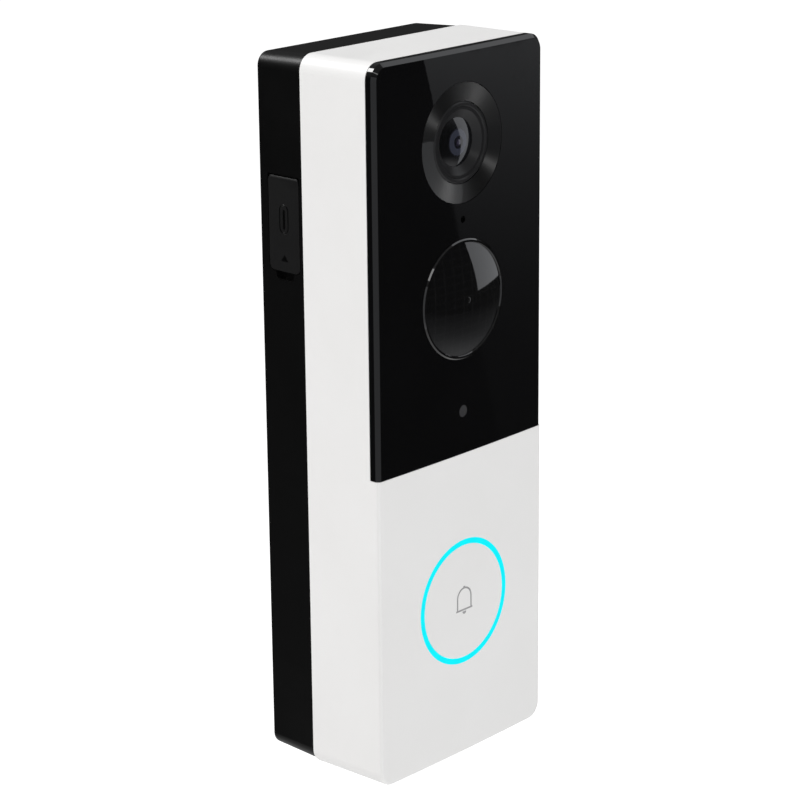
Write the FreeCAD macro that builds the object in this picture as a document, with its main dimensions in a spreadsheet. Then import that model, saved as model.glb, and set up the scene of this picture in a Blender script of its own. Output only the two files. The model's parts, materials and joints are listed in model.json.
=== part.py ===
"""Video doorbell: a battery unit that slides down onto a bracket on the wall.

Frame: +Z up, the front faces -Y, and the origin is the middle of the bracket's back face, on the wall.
"depth" is measured from the front plane of the unit towards the wall. Lengths are millimetres.
"""
import FreeCAD, Part
import Sketcher
import math
import os

from FreeCAD import Placement, Rotation, Vector

# name, value, what it is
DIMENSIONS = [
    ("unit_width", 48.9, "over the side walls"),
    ("unit_height", 143.0, "over the end walls"),
    ("unit_depth", 30.9, "front plane to rear plane of the unit"),
    ("corner_radius", 3.2, "outline corners seen from the front"),
    ("crown", 0.4, "how far the front falls back at its sides"),
    ("shell_wall", 1.8, "side and end walls of the shells"),
    ("front_wall", 2.0, "lower front wall"),
    ("seam_depth", 19.1, "front plane to the joint of the shells"),
    ("seam_step", 0.2, "rear shell set in from the front shell"),
    ("draft_angle", 2.7, "taper of the rear shell, degrees"),
    ("rear_wall", 1.3, "rear wall in front of the bracket recess"),
    ("rear_round", 0.6, "round of the rear edge"),
    ("edge_round", 0.3, "small rounds on the white shell"),
    ("front_round", 0.7, "round of the lower front edge"),
    ("fit_gap", 0.1, "sliding fit of the button"),
    ("loose_gap", 0.15, "loose fit of covers and bracket"),
    ("glass_bottom", -8.15, "height of the lower edge of the dark panel"),
    ("glass_thickness", 2.4, "dark front panel"),
    ("glass_joint", 0.1, "gap under the dark panel"),
    ("glass_bevel_in", 0.75, "bevel of the dark panel, across"),
    ("adhesive_thickness", 0.14, "adhesive sheet"),
    ("adhesive_inset", 1.6, "adhesive sheet in from the panel edge"),
    ("ledge_wall", 1.5, "wall behind the dark panel"),
    ("camera_height", 53.5, "camera axis above the middle"),
    ("bezel_radius", 11.6, "dished ring"),
    ("bezel_bore", 7.95, "bore of the dished ring"),
    ("bezel_dish", 0.35, "fall of the dished face"),
    ("flange_step", 1.4, "bezel flange beyond the ring"),
    ("flange_thickness", 0.9, "bezel and motion lens flanges"),
    ("hole_gap", 0.08, "play of rings in the front panel"),
    ("lens_radius", 4.7, "front lens element"),
    ("lens_edge_depth", 1.75, "rim of the front element"),
    ("lens_dome", 0.75, "bulge of the front element"),
    ("lens_back_depth", 3.4, "back of the front element"),
    ("stop_radius", 1.4, "clear opening of the aperture stop"),
    ("barrel_radius", 7.0, "lens barrel"),
    ("barrel_neck", 5.6, "narrow rear of the lens barrel"),
    ("barrel_step_depth", 9.0, "shoulder of the lens barrel"),
    ("barrel_end_depth", 13.0, "rear of the lens barrel"),
    ("holder_side", 18.0, "square lens holder"),
    ("holder_front_depth", 6.9, "front of the lens holder"),
    ("camera_board_depth", 15.0, "front of the camera board"),
    ("thin_board", 1.0, "small circuit boards"),
    ("side_post_x", 16.0, "posts beside camera and motion sensor"),
    ("post_radius", 2.0, "screw posts"),
    ("pir_height", 23.0, "motion sensor axis above the middle"),
    ("pir_radius", 11.86, "motion lens"),
    ("pir_rim_proud", 0.3, "rim of the motion lens"),
    ("pir_dome", 1.3, "top of the motion lens before the front plane"),
    ("pir_lens_wall", 0.9, "motion lens wall"),
    ("pir_board_depth", 13.2, "front of the motion sensor board"),
    ("can_radius", 4.1, "sensor can"),
    ("can_height", 4.0, "sensor can"),
    ("mic_height", 38.7, "microphone hole above the middle"),
    ("mic_hole_radius", 0.65, "microphone hole"),
    ("bar_board_depth", 8.0, "front of the bar board"),
    ("bar_board_thickness", 0.8, "bar board"),
    ("bar_board_half", 2.3, "half height of the bar board"),
    ("infrared_x", 17.5, "night light to the middle"),
    ("infrared_radius", 1.5, "night light"),
    ("bar_post_x", 11.0, "posts of the bar board"),
    ("status_height", 0.5, "status light above the middle"),
    ("status_radius", 1.2, "status light"),
    ("button_height", -39.0, "button axis above the middle"),
    ("ring_outer", 13.0, "light ring outside"),
    ("ring_inner", 11.91, "light ring inside"),
    ("ring_back_depth", 3.2, "back of the ring where the button stops"),
    ("ring_skirt", 1.3, "skirt of the light ring, across"),
    ("button_travel", 0.4, "press of the button"),
    ("button_skin", 1.5, "button face"),
    ("button_board_depth", 6.2, "front of the button board"),
    ("board_post_x", 13.5, "posts of the button board"),
    ("board_post_z", 12.0, "posts above and below the button"),
    ("led_circle", 13.7, "ring of lights on the button board"),
    ("led_side", 1.0, "one light"),
    ("cell_radius", 9.2, "battery cell"),
    ("cell_length", 65.0, "battery cell"),
    ("cell_pitch", 19.2, "cell to cell"),
    ("cell_bottom", -61.5, "lower end of the cells"),
    ("holder_wall", 0.6, "floor of the battery holder"),
    ("holder_side_wall", 1.4, "sides of the battery holder"),
    ("contact_thickness", 0.75, "battery contact strip"),
    ("speaker_width", 26.0, "speaker"),
    ("speaker_depth", 10.5, "speaker"),
    ("speaker_height", 5.0, "speaker"),
    ("speaker_front_depth", 7.0, "front of the speaker"),
    ("gasket_thickness", 0.4, "speaker gasket"),
    ("slot_width", 1.2, "speaker slot"),
    ("slot_length", 6.0, "speaker slot"),
    ("slot_pitch", 3.2, "speaker slot to slot"),
    ("main_board_depth", 21.4, "front of the main board"),
    ("main_board_thickness", 1.2, "main board"),
    ("main_board_gap", 4.95, "main board in from the outside"),
    ("main_board_bottom", 9.0, "lower edge of the main board"),
    ("main_board_top", 62.0, "upper edge of the main board"),
    ("main_post_x", 15.0, "posts of the main board"),
    ("main_post_inset", 4.0, "posts in from the board's ends"),
    ("port_height", 41.5, "charging port above the middle"),
    ("port_width", 8.94, "charging port shell, across"),
    ("port_thickness", 3.26, "charging port shell"),
    ("port_length", 7.3, "charging port shell"),
    ("port_set_back", 0.15, "port behind the wall pad"),
    ("cover_height", 18.6, "port flap"),
    ("cover_width", 8.3, "port flap"),
    ("cover_thickness", 1.3, "port flap"),
    ("cover_corner", 1.2, "port flap corners"),
    ("cover_middle", 38.5, "middle of the flap above the middle"),
    ("pad_depth", 2.8, "wall at the port, outside to inside"),
    ("port_hole_width", 9.4, "hole for the port"),
    ("port_hole_height", 3.7, "hole for the port, across"),
    ("plug_gap", 0.35, "flap plug in the port hole"),
    ("plug_depth", 1.0, "flap plug"),
    ("relief_corner", 0.35, "corners of the flap's seat at its hinge end"),
    ("relief_length", 2.6, "hinge end of the flap's seat"),
    ("notch_width", 5.0, "finger notch"),
    ("notch_height", 1.5, "finger notch"),
    ("notch_depth", 1.0, "finger notch"),
    ("sync_height", 33.0, "sync button above the middle"),
    ("sync_radius", 1.2, "sync button"),
    ("sync_travel", 0.4, "press of the sync button"),
    ("gasket_inset", 0.5, "shell seal in from the outside"),
    ("gasket_width", 0.8, "shell seal groove"),
    ("gasket_deep", 0.7, "shell seal groove"),
    ("seal_gap", 0.02, "play of the seal in its groove"),
    ("screw_inset", 4.0, "shell screws in from the outside"),
    ("screw_radius", 1.0, "shell screw shank"),
    ("screw_head_radius", 1.9, "shell screw head"),
    ("screw_head_height", 1.6, "shell screw head"),
    ("screw_sink", 2.4, "shell screw seat below the rear plane"),
    ("screw_tip_depth", 12.5, "tip of the shell screws"),
    ("boss_radius", 2.4, "shell screw bosses"),
    ("screw_play", 0.03, "screw shank in its bore"),
    ("small_screw_radius", 0.75, "board screw shank"),
    ("small_screw_length", 4.2, "board screw shank"),
    ("small_head_radius", 1.5, "board screw head"),
    ("small_head_height", 0.65, "board screw head"),
    ("bracket_width", 30.0, "wall bracket"),
    ("bracket_height", 112.0, "wall bracket"),
    ("bracket_thickness", 3.0, "wall bracket"),
    ("bracket_proud", 0.4, "bracket behind the rear plane"),
    ("bracket_corner", 3.0, "wall bracket corners"),
    ("bracket_side_gap", 0.3, "play at the bracket's edges"),
    ("hole_spacing", 90.0, "wall screw holes"),
    ("wall_hole_radius", 2.1, "wall screw holes"),
    ("sink_radius", 4.0, "countersink of the wall screw holes"),
    ("lift_travel", 6.0, "unit up off the bracket"),
    ("tab_length", 5.0, "bracket tab"),
    ("tab_reach", 1.4, "bracket tab, sideways"),
    ("tab_thickness", 1.0, "bracket tab"),
    ("tab_spacing", 45.0, "bracket tab to tab"),
    ("notch_play", 0.5, "entry notch around a tab"),
    ("latch_width", 7.8, "latch tongue"),
    ("latch_length", 23.7, "latch tongue"),
    ("latch_top", -8.3, "upper end of the latch tongue"),
    ("latch_leaf", 0.55, "latch tongue leaf"),
    ("latch_retreat", 1.05, "latch tongue gives way by this"),
    ("catch_height", 1.2, "catch rib on the unit"),
    ("catch_width", 7.0, "catch rib on the unit"),
    ("catch_thickness", 1.5, "catch rib on the unit"),
    ("joint_gap", 0.05, "gap between pieces set in one another"),
    ("joined_overlap", 0.1, "how far solids that are joined run into each other"),
    ("overcut", 1.0, "how far a cut runs past the face where it opens"),
    ("cavity_ease", 0.4, "rear cavity beyond the walls of its deep end"),
    ("channel_inset", 0.2, "side channels in from the rear cavity"),
    ("head_play", 0.2, "play around a shell screw's head"),
    ("bore_short", 0.4, "post bores shorter than their screws"),
    ("main_bore_short", 0.8, "main post bores shorter than their screws"),
    ("latch_foot_up", 2.5, "foot of the latch ramp above the tongue's lower end"),
    ("latch_wall_gap", 0.05, "latch tongue off the wall once it has given way"),
    ("latch_crest", 0.6, "flat crest of the latch ramp"),
    ("latch_crest_top", 1.0, "upper end of the latch crest"),
    ("latch_foot_slope", 0.4, "lower slope of the latch ramp"),
    ("pad_margin", 0.4, "wall pad past the flap's seat, to the front"),
    ("pad_set_in", 0.6, "wall pad short of the flap's seat, to the wall"),
    ("pad_below_seat", 0.1, "wall pad under the floor of the flap's seat"),
    ("notch_round", 0.8, "corners of the finger notch, of its height"),
    ("anchor_drop", 0.2, "anchor stem below the flap's hinge end"),
    ("anchor_height", 0.95, "anchor stem"),
    ("anchor_inset", 1.7, "anchor stem in from the flap's edges"),
    ("anchor_head_side", 0.6, "anchor head beyond its stem, across"),
    ("anchor_head_end", 0.4, "anchor head beyond its stem, up and down"),
    ("anchor_head_thickness", 0.6, "anchor head"),
    ("adhesive_play", 0.32, "adhesive sheet back from the openings"),
    ("lip_slope", 0.25, "outer slope of the lens ring's lip"),
    ("lip_inside", 0.7, "inner edge of the lip, in from its outside"),
    ("lip_foot", 0.9, "foot of the lip, in from its outside"),
    ("lip_step", 0.15, "step behind the lip"),
    ("cone_rim", 1.55, "wide end of the inner cone, in from the lip's outside"),
    ("lens_middle", 1.2, "front lens element at its middle"),
    ("lens_bowl", 0.85, "hollow back of the front element, of its radius"),
    ("stop_room", 1.6, "room for the aperture stop"),
    ("stop_lip", 0.5, "aperture stop at its opening"),
    ("stop_rim", 0.8, "aperture stop at its rim"),
    ("barrel_tail", 0.55, "rear bore of the lens barrel, of its neck"),
    ("chamber_set_in", 5.0, "sensor chamber narrower than the lens holder"),
    ("image_sensor_side", 9.0, "image sensor"),
    ("image_sensor_thickness", 0.9, "image sensor"),
    ("camera_board_margin", 2.0, "camera board taller than the lens holder"),
    ("camera_gasket_clear", 0.3, "camera gasket wider than the bezel's bore"),
    ("pir_skirt", 1.0, "skirt of the motion lens"),
    ("pir_bead_height", 0.25, "bead at the rim of the motion lens"),
    ("pir_bead_foot", 0.75, "inner foot of the bead, in from the rim"),
    ("pir_bead_inner", 0.6, "inner edge of the bead, in from the rim"),
    ("pir_bead_outer", 0.25, "outer edge of the bead, in from the rim"),
    ("pir_flange", 1.0, "motion lens flange beyond the lens"),
    ("shroud_flange", 0.8, "shroud beyond the motion lens"),
    ("shroud_step", 1.0, "flange of the shroud"),
    ("shroud_gap", 0.7, "shroud ahead of the motion sensor board"),
    ("shroud_foot", 2.2, "foot of the shroud beyond the can"),
    ("shroud_bore", 0.7, "bore of the shroud beyond the can"),
    ("shroud_lip", 1.0, "lip at the bore of the shroud"),
    ("can_rim", 0.5, "rim of the sensor can beyond the can"),
    ("can_rim_height", 0.6, "rim of the sensor can"),
    ("pir_board_height", 20.0, "motion sensor board"),
    ("bar_board_ends", 7.0, "bar board beyond the night lights, both ends"),
    ("infrared_set_back", 1.8, "night light behind the ledge wall"),
    ("microphone_width", 3.8, "microphone"),
    ("microphone_height", 2.7, "microphone"),
    ("microphone_thickness", 1.0, "microphone"),
    ("boot_width", 4.4, "microphone boot"),
    ("boot_height", 3.2, "microphone boot"),
    ("pipe_flange", 0.8, "flange of the light pipe"),
    ("pipe_gap", 0.7, "light pipe ahead of its board"),
    ("ring_foot_gap", 0.6, "light ring ahead of the button board"),
    ("cap_flange", 0.9, "flange of the button"),
    ("cap_post", 0.3, "post of the button past its flange"),
    ("cap_post_radius", 1.5, "post of the button"),
    ("cap_wall", 1.2, "wall of the button"),
    ("plunger_radius", 1.0, "plunger of the button's switch"),
    ("button_switch_side", 5.0, "switch of the button"),
    ("tongue_width", 10.0, "tongue of the button board"),
    ("tongue_beyond", 3.0, "tongue past the status light"),
    ("led_height", 0.5, "one light"),
    ("contact_width", 6.0, "battery contact strip"),
    ("contact_depth", 8.0, "battery contact strip"),
    ("frame_share", 0.6, "speaker frame, of the speaker's height"),
    ("magnet_start", 0.5, "start of the magnet, of the speaker's height"),
    ("magnet_width", 13.0, "speaker magnet"),
    ("magnet_depth", 7.35, "speaker magnet"),
    ("speaker_gasket_width", 1.6, "speaker gasket, across"),
    ("shield_x", 2.0, "shield can to the middle"),
    ("shield_width", 16.0, "shield can"),
    ("shield_middle", 45.0, "shield can above the middle"),
    ("shield_length", 22.0, "shield can"),
    ("shield_thickness", 2.2, "shield can"),
    ("connector_x", -12.5, "camera connector to the middle"),
    ("connector_width", 7.0, "camera connector"),
    ("connector_middle", 50.0, "camera connector above the middle"),
    ("connector_length", 8.0, "camera connector"),
    ("connector_thickness", 1.2, "camera connector"),
    ("aerial_thickness", 0.4, "aerial"),
    ("aerial_middle_depth", 12.5, "front plane to the middle of the aerial"),
    ("aerial_depth", 9.0, "aerial"),
    ("aerial_middle", 39.0, "aerial above the middle"),
    ("aerial_length", 38.0, "aerial"),
    ("port_wall", 0.3, "sheet of the port shell"),
    ("port_back_wall", 0.8, "port shell behind its mouth"),
    ("port_tongue_half", 0.35, "half thickness of the port's tongue"),
    ("port_tongue_inset", 1.1, "port's tongue in from its shell"),
    ("sync_stem", 1.6, "stem of the sync button past the pad"),
    ("sync_flange", 0.6, "flange of the sync button, across and along"),
    ("sync_switch_length", 3.5, "sync switch"),
    ("sync_switch_height", 4.0, "sync switch"),
]

LED_COUNT = 16
SLOT_COUNT = 5
BOTH_SIDES = (-1, 1)
FAR = 400.0
HAIR = 0.01


class Size:
    """A length that carries its number and the sheet formula that it comes from."""

    def __init__(self, number, text):
        self.number = float(number)
        self.text = text

    def __add__(self, other):
        other = size(other)
        return Size(self.number + other.number, "(%s + %s)" % (self.text, other.text))

    def __sub__(self, other):
        other = size(other)
        return Size(self.number - other.number, "(%s - %s)" % (self.text, other.text))

    def __mul__(self, factor):
        factor = size(factor)
        return Size(self.number * factor.number, "(%s * %s)" % (self.text, factor.text))

    def __truediv__(self, factor):
        factor = size(factor)
        return Size(self.number / factor.number, "(%s / %s)" % (self.text, factor.text))

    def __neg__(self):
        return Size(-self.number, "(0 - %s)" % self.text)

    def __radd__(self, other):
        return size(other) + self

    def __rsub__(self, other):
        return size(other) - self

    def __rmul__(self, other):
        return size(other) * self


def size(value):
    """Turn a plain number into a Size, and leave a Size as it is."""
    if isinstance(value, Size):
        return value
    return Size(value, "%.6g" % value)


def tangent_of(angle):
    """The tangent of a Size in degrees."""
    return Size(math.tan(math.radians(angle.number)), "tan(%s * 1deg)" % angle.text)


doc = FreeCAD.newDocument("video_doorbell")
sheet = doc.addObject("Spreadsheet::Sheet", "sizes")


class Sizes:
    """Every driving dimension by name, as a Size bound to its cell."""


S = Sizes()
for row, (alias, value, meaning) in enumerate(DIMENSIONS, start=1):
    sheet.set("A%d" % row, alias)
    sheet.set("B%d" % row, str(value))
    sheet.set("C%d" % row, meaning)
    sheet.setAlias("B%d" % row, alias)
    setattr(S, alias, Size(value, "sizes.%s" % alias))
doc.recompute()

# Worked out from the driving dimensions
HALF_WIDTH = S.unit_width / 2
HALF_HEIGHT = S.unit_height / 2
FRONT_Y = -(S.unit_depth + S.bracket_proud)
INNER_HALF_WIDTH = HALF_WIDTH - S.shell_wall
INNER_HALF_HEIGHT = HALF_HEIGHT - S.shell_wall
LEDGE_FRONT = S.glass_thickness + S.adhesive_thickness
LEDGE_BACK = LEDGE_FRONT + S.ledge_wall
RECESS_DEEP = S.bracket_thickness - S.bracket_proud + S.loose_gap
RECESS_FLOOR = S.unit_depth - RECESS_DEEP
REAR_FLOOR = RECESS_FLOOR - S.rear_wall
REAR_TAPER = (S.unit_depth - S.seam_depth) * tangent_of(S.draft_angle)
REAR_INNER_HALF_WIDTH = HALF_WIDTH - S.seam_step - REAR_TAPER - S.shell_wall + S.cavity_ease
REAR_INNER_HALF_HEIGHT = HALF_HEIGHT - S.seam_step - REAR_TAPER - S.shell_wall + S.cavity_ease
INNER_CORNER = S.corner_radius - S.shell_wall
MAIN_BOARD_HALF = HALF_WIDTH - S.main_board_gap
MAIN_BOARD_BACK = S.main_board_depth + S.main_board_thickness
PORT_AXIS_DEPTH = MAIN_BOARD_BACK + S.port_thickness / 2
CELL_AXIS_DEPTH = REAR_FLOOR - S.fit_gap - S.holder_wall - S.joint_gap - S.cell_radius
SCREW_X = HALF_WIDTH - S.screw_inset
SCREW_Z = HALF_HEIGHT - S.screw_inset
RECESS_HALF_WIDTH = S.bracket_width / 2 + S.bracket_side_gap
BRACKET_FRONT = S.unit_depth + S.bracket_proud - S.bracket_thickness


# ---------------------------------------------------------------- helpers

def bind(item, path, value):
    """Give a property its number and tie it to its formula."""
    value = size(value)
    item.setExpression(path, value.text)


def place(item, x=0, y=None, z=0):
    """Bind an object's base point; y is the front plane unless it is given."""
    if y is None:
        y = FRONT_Y
    bind(item, ".Placement.Base.x", x)
    bind(item, ".Placement.Base.y", y)
    bind(item, ".Placement.Base.z", z)


def new_body(label, x=0, z=0):
    """A body whose own origin is on the front plane."""
    body = doc.addObject("PartDesign::Body", label)
    body.Label = label
    place(body, x, None, z)
    return body


def sketch_on(body, role, name, offset=0):
    """A sketch on one of the body's origin planes, moved along its normal."""
    sketch = body.newObject("Sketcher::SketchObject", name)
    plane = [item for item in body.Origin.OriginFeatures if item.Role == role][0]
    sketch.AttachmentSupport = [(plane, "")]
    sketch.MapMode = "FlatFace"
    bind(sketch, ".AttachmentOffset.Base.z", offset)
    return sketch


def front_sketch(body, name, depth=0):
    """A sketch seen from the front: X across, Z up, at a depth behind the front plane."""
    return sketch_on(body, "XZ_Plane", name, -size(depth))


def pin(sketch, geometry, point, x, y):
    """Tie a sketch point to the sketch's origin."""
    for axis, value, line in (("DistanceX", x, -2), ("DistanceY", y, -1)):
        value = size(value)
        if value.text == "0":
            sketch.addConstraint(Sketcher.Constraint("PointOnObject", geometry, point, line))
        else:
            index = sketch.addConstraint(
                Sketcher.Constraint(axis, -1, 1, geometry, point, value.number))
            sketch.setExpression("Constraints[%d]" % index, value.text)


def circle(sketch, x, y, radius):
    """A circle by its centre and radius."""
    x, y, radius = size(x), size(y), size(radius)
    shape = Part.Circle(Vector(x.number, y.number, 0), Vector(0, 0, 1), radius.number)
    geometry = sketch.addGeometry(shape)
    pin(sketch, geometry, 3, x, y)
    index = sketch.addConstraint(Sketcher.Constraint("Radius", geometry, radius.number))
    sketch.setExpression("Constraints[%d]" % index, radius.text)


def outline(sketch, points, domes=()):
    """A closed outline through pinned points; a dome is an arc centred on the X axis."""
    points = [(size(x), size(y)) for x, y in points]
    count = len(points)
    geometry = []
    reversed_arcs = []
    for i, (x, y) in enumerate(points):
        following = points[(i + 1) % count]
        start = Vector(x.number, y.number, 0)
        end = Vector(following[0].number, following[1].number, 0)
        backwards = False
        if i in domes:
            span = (start.x ** 2 + start.y ** 2 - end.x ** 2 - end.y ** 2)
            centre = Vector(span / (2 * (start.x - end.x)), 0, 0)
            radius = (start - centre).Length
            angles = [math.atan2(p.y - centre.y, p.x - centre.x) for p in (start, end)]
            backwards = (angles[1] - angles[0]) % (2 * math.pi) > math.pi
            if backwards:
                angles.reverse()
            round_line = Part.Circle(centre, Vector(0, 0, 1), radius)
            geometry.append(Part.ArcOfCircle(round_line, angles[0], angles[1]))
        else:
            geometry.append(Part.LineSegment(start, end))
        reversed_arcs.append(backwards)
    first = sketch.addGeometry(geometry)
    first = first[0] if isinstance(first, tuple) else first
    for i in range(count):
        after = (i + 1) % count
        own_end = 1 if reversed_arcs[i] else 2
        next_start = 2 if reversed_arcs[after] else 1
        sketch.addConstraint(
            Sketcher.Constraint("Coincident", first + i, own_end, first + after, next_start))
    for i, (x, y) in enumerate(points):
        own_start = 2 if reversed_arcs[i] else 1
        pin(sketch, first + i, own_start, x, y)
    for i in domes:
        sketch.addConstraint(Sketcher.Constraint("PointOnObject", first + i, 3, -1))


def rectangle(sketch, left, right, low, high, radius=None):
    """A rectangle, with round corners where a radius is given."""
    left, right, low, high = size(left), size(right), size(low), size(high)
    if radius is None:
        outline(sketch, [(left, low), (right, low), (right, high), (left, high)])
        return
    radius = size(radius)
    corners = [
        (left + radius, low + radius, math.pi),
        (right - radius, low + radius, 1.5 * math.pi),
        (right - radius, high - radius, 0.0),
        (left + radius, high - radius, 0.5 * math.pi),
    ]
    geometry = []
    ends = []
    for x, y, start in corners:
        centre = Vector(x.number, y.number, 0)
        round_line = Part.Circle(centre, Vector(0, 0, 1), radius.number)
        arc = Part.ArcOfCircle(round_line, start, start + 0.5 * math.pi)
        geometry.append(arc)
        ends.append((arc.StartPoint, arc.EndPoint))
    for i in range(4):
        geometry.append(Part.LineSegment(ends[i][1], ends[(i + 1) % 4][0]))
    first = sketch.addGeometry(geometry)
    first = first[0] if isinstance(first, tuple) else first
    for i in range(4):
        line = first + 4 + i
        sketch.addConstraint(Sketcher.Constraint("Tangent", first + i, 2, line, 1))
        sketch.addConstraint(Sketcher.Constraint("Tangent", line, 2, first + (i + 1) % 4, 1))
    for i, (x, y, start) in enumerate(corners):
        pin(sketch, first + i, 3, x, y)
        index = sketch.addConstraint(Sketcher.Constraint("Radius", first + i, radius.number))
        sketch.setExpression("Constraints[%d]" % index, radius.text)


def pad(body, sketch, length, towards="back", taper=None):
    """Add material from a front sketch, towards the wall or the front."""
    feature = body.newObject("PartDesign::Pad", sketch.Name + "_pad")
    feature.Profile = sketch
    feature.Reversed = towards == "back"
    bind(feature, "Length", length)
    if taper is not None:
        bind(feature, "TaperAngle", taper)
    return check_change(body, feature, 1)


def pocket(body, sketch, length=None, towards="back", both_ways=False):
    """Cut from a front sketch, towards the wall or the front, or right through both ways."""
    feature = body.newObject("PartDesign::Pocket", sketch.Name + "_cut")
    feature.Profile = sketch
    feature.Reversed = towards != "back"
    if both_ways:
        feature.SideType = "Symmetric"
        feature.Length = FAR
    else:
        bind(feature, "Length", length)
    return check_change(body, feature, -1)


def check_change(body, feature, direction):
    """Make sure that a feature added or removed material."""
    before = feature.BaseFeature.Shape.Volume if feature.BaseFeature else 0.0
    doc.recompute()
    change = feature.Shape.Volume - before
    if change * direction <= 0:
        raise ValueError("%s changes nothing" % feature.Name)
    return feature


def revolve(body, sketch):
    """Turn a profile about the sketch's own X axis."""
    feature = body.newObject("PartDesign::Revolution", sketch.Name + "_turn")
    feature.Profile = sketch
    feature.ReferenceAxis = (sketch, ["H_Axis"])
    feature.Angle = 360
    return check_change(body, feature, 1)


def turned(label, x, z, points, domes=()):
    """A body turned about a Y axis; the points are (depth, radius)."""
    body = new_body(label, x, z)
    sketch = sketch_on(body, "YZ_Plane", label + "_profile")
    outline(sketch, points, domes)
    revolve(body, sketch)
    return body


def round_edges(body, radius, chosen, name):
    """Round the edges of the body that a test picks."""
    doc.recompute()
    base = body.Tip
    names = ["Edge%d" % (i + 1) for i, edge in enumerate(base.Shape.Edges) if chosen(edge)]
    if not names:
        raise ValueError("%s: no edge to round" % name)
    feature = body.newObject("PartDesign::Fillet", name)
    feature.Base = (base, names)
    bind(feature, "Radius", radius)
    doc.recompute()
    return feature


def in_plane(edge, y):
    """Whether an edge lies in the plane at this depth, in the body's own frame."""
    box = edge.BoundBox
    tolerance = 1e-4
    return abs(box.YMin - y.number) < tolerance and abs(box.YMax - y.number) < tolerance


def crown_cut(body, name):
    """Cut the front to a shallow barrel shape that falls back towards the sides."""
    sketch = sketch_on(body, "XY_Plane", name)
    edge = S.unit_width
    fall = S.crown * 4
    ahead = 5.0
    geometry = [
        Part.Arc(Vector(-edge.number, fall.number, 0), Vector(0, 0, 0),
                 Vector(edge.number, fall.number, 0)),
        Part.LineSegment(Vector(edge.number, fall.number, 0), Vector(edge.number, -ahead, 0)),
        Part.LineSegment(Vector(edge.number, -ahead, 0), Vector(-edge.number, -ahead, 0)),
        Part.LineSegment(Vector(-edge.number, -ahead, 0), Vector(-edge.number, fall.number, 0)),
    ]
    first = sketch.addGeometry(geometry)[0]
    arc = sketch.Geometry[first]
    right_is_start = arc.StartPoint.x > 0
    right = 1 if right_is_start else 2
    left = 3 - right
    for join in ((0, right, 1, 1), (1, 2, 2, 1), (2, 2, 3, 1), (3, 2, 0, left)):
        sketch.addConstraint(Sketcher.Constraint("Coincident", *join))
    pin(sketch, 1, 1, edge, fall)
    pin(sketch, 3, 2, -edge, fall)
    pin(sketch, 1, 2, edge, -ahead)
    pin(sketch, 3, 1, -edge, -ahead)
    sketch.addConstraint(Sketcher.Constraint("PointOnObject", -1, 1, 0))
    return pocket(body, sketch, both_ways=True)


def block(name, x, depth, z):
    """A box from three (low, high) ranges; the middle one is the depth."""
    item = doc.addObject("Part::Box", name)
    low = [size(pair[0]) for pair in (x, depth, z)]
    high = [size(pair[1]) for pair in (x, depth, z)]
    for path, start, end in zip(("Length", "Width", "Height"), low, high):
        bind(item, path, end - start)
    place(item, low[0], FRONT_Y + low[1], low[2])
    return item


def rod(name, radius, depth, x=0, z=0):
    """A cylinder along the depth."""
    item = doc.addObject("Part::Cylinder", name)
    item.Placement = Placement(Vector(), Rotation(Vector(1, 0, 0), -90))
    bind(item, "Radius", radius)
    bind(item, "Height", size(depth[1]) - size(depth[0]))
    place(item, x, FRONT_Y + size(depth[0]), z)
    return item


def upright(name, radius, x, depth, z):
    """A cylinder along Z, from one height to another."""
    item = doc.addObject("Part::Cylinder", name)
    bind(item, "Radius", radius)
    bind(item, "Height", size(z[1]) - size(z[0]))
    place(item, x, FRONT_Y + size(depth), z[0])
    return item


def join(label, pieces):
    """Several solids as one object."""
    item = doc.addObject("Part::MultiFuse", label)
    item.Shapes = pieces
    item.Label = label
    return item


def group(label, pieces):
    """Several separate solids in one object."""
    item = doc.addObject("Part::Compound", label)
    item.Links = pieces
    item.Label = label
    return item


def cut(label, base, tools):
    """A solid with others taken out of it."""
    item = doc.addObject("Part::Cut", label)
    item.Base = base
    item.Tool = tools[0] if len(tools) == 1 else join(label + "_tools", tools)
    item.Label = label
    return item


def mirror_pair(values):
    """(-value, value) for each value."""
    return [value * side for value in values for side in BOTH_SIDES]


# ---------------------------------------------------------------- shells

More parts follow.
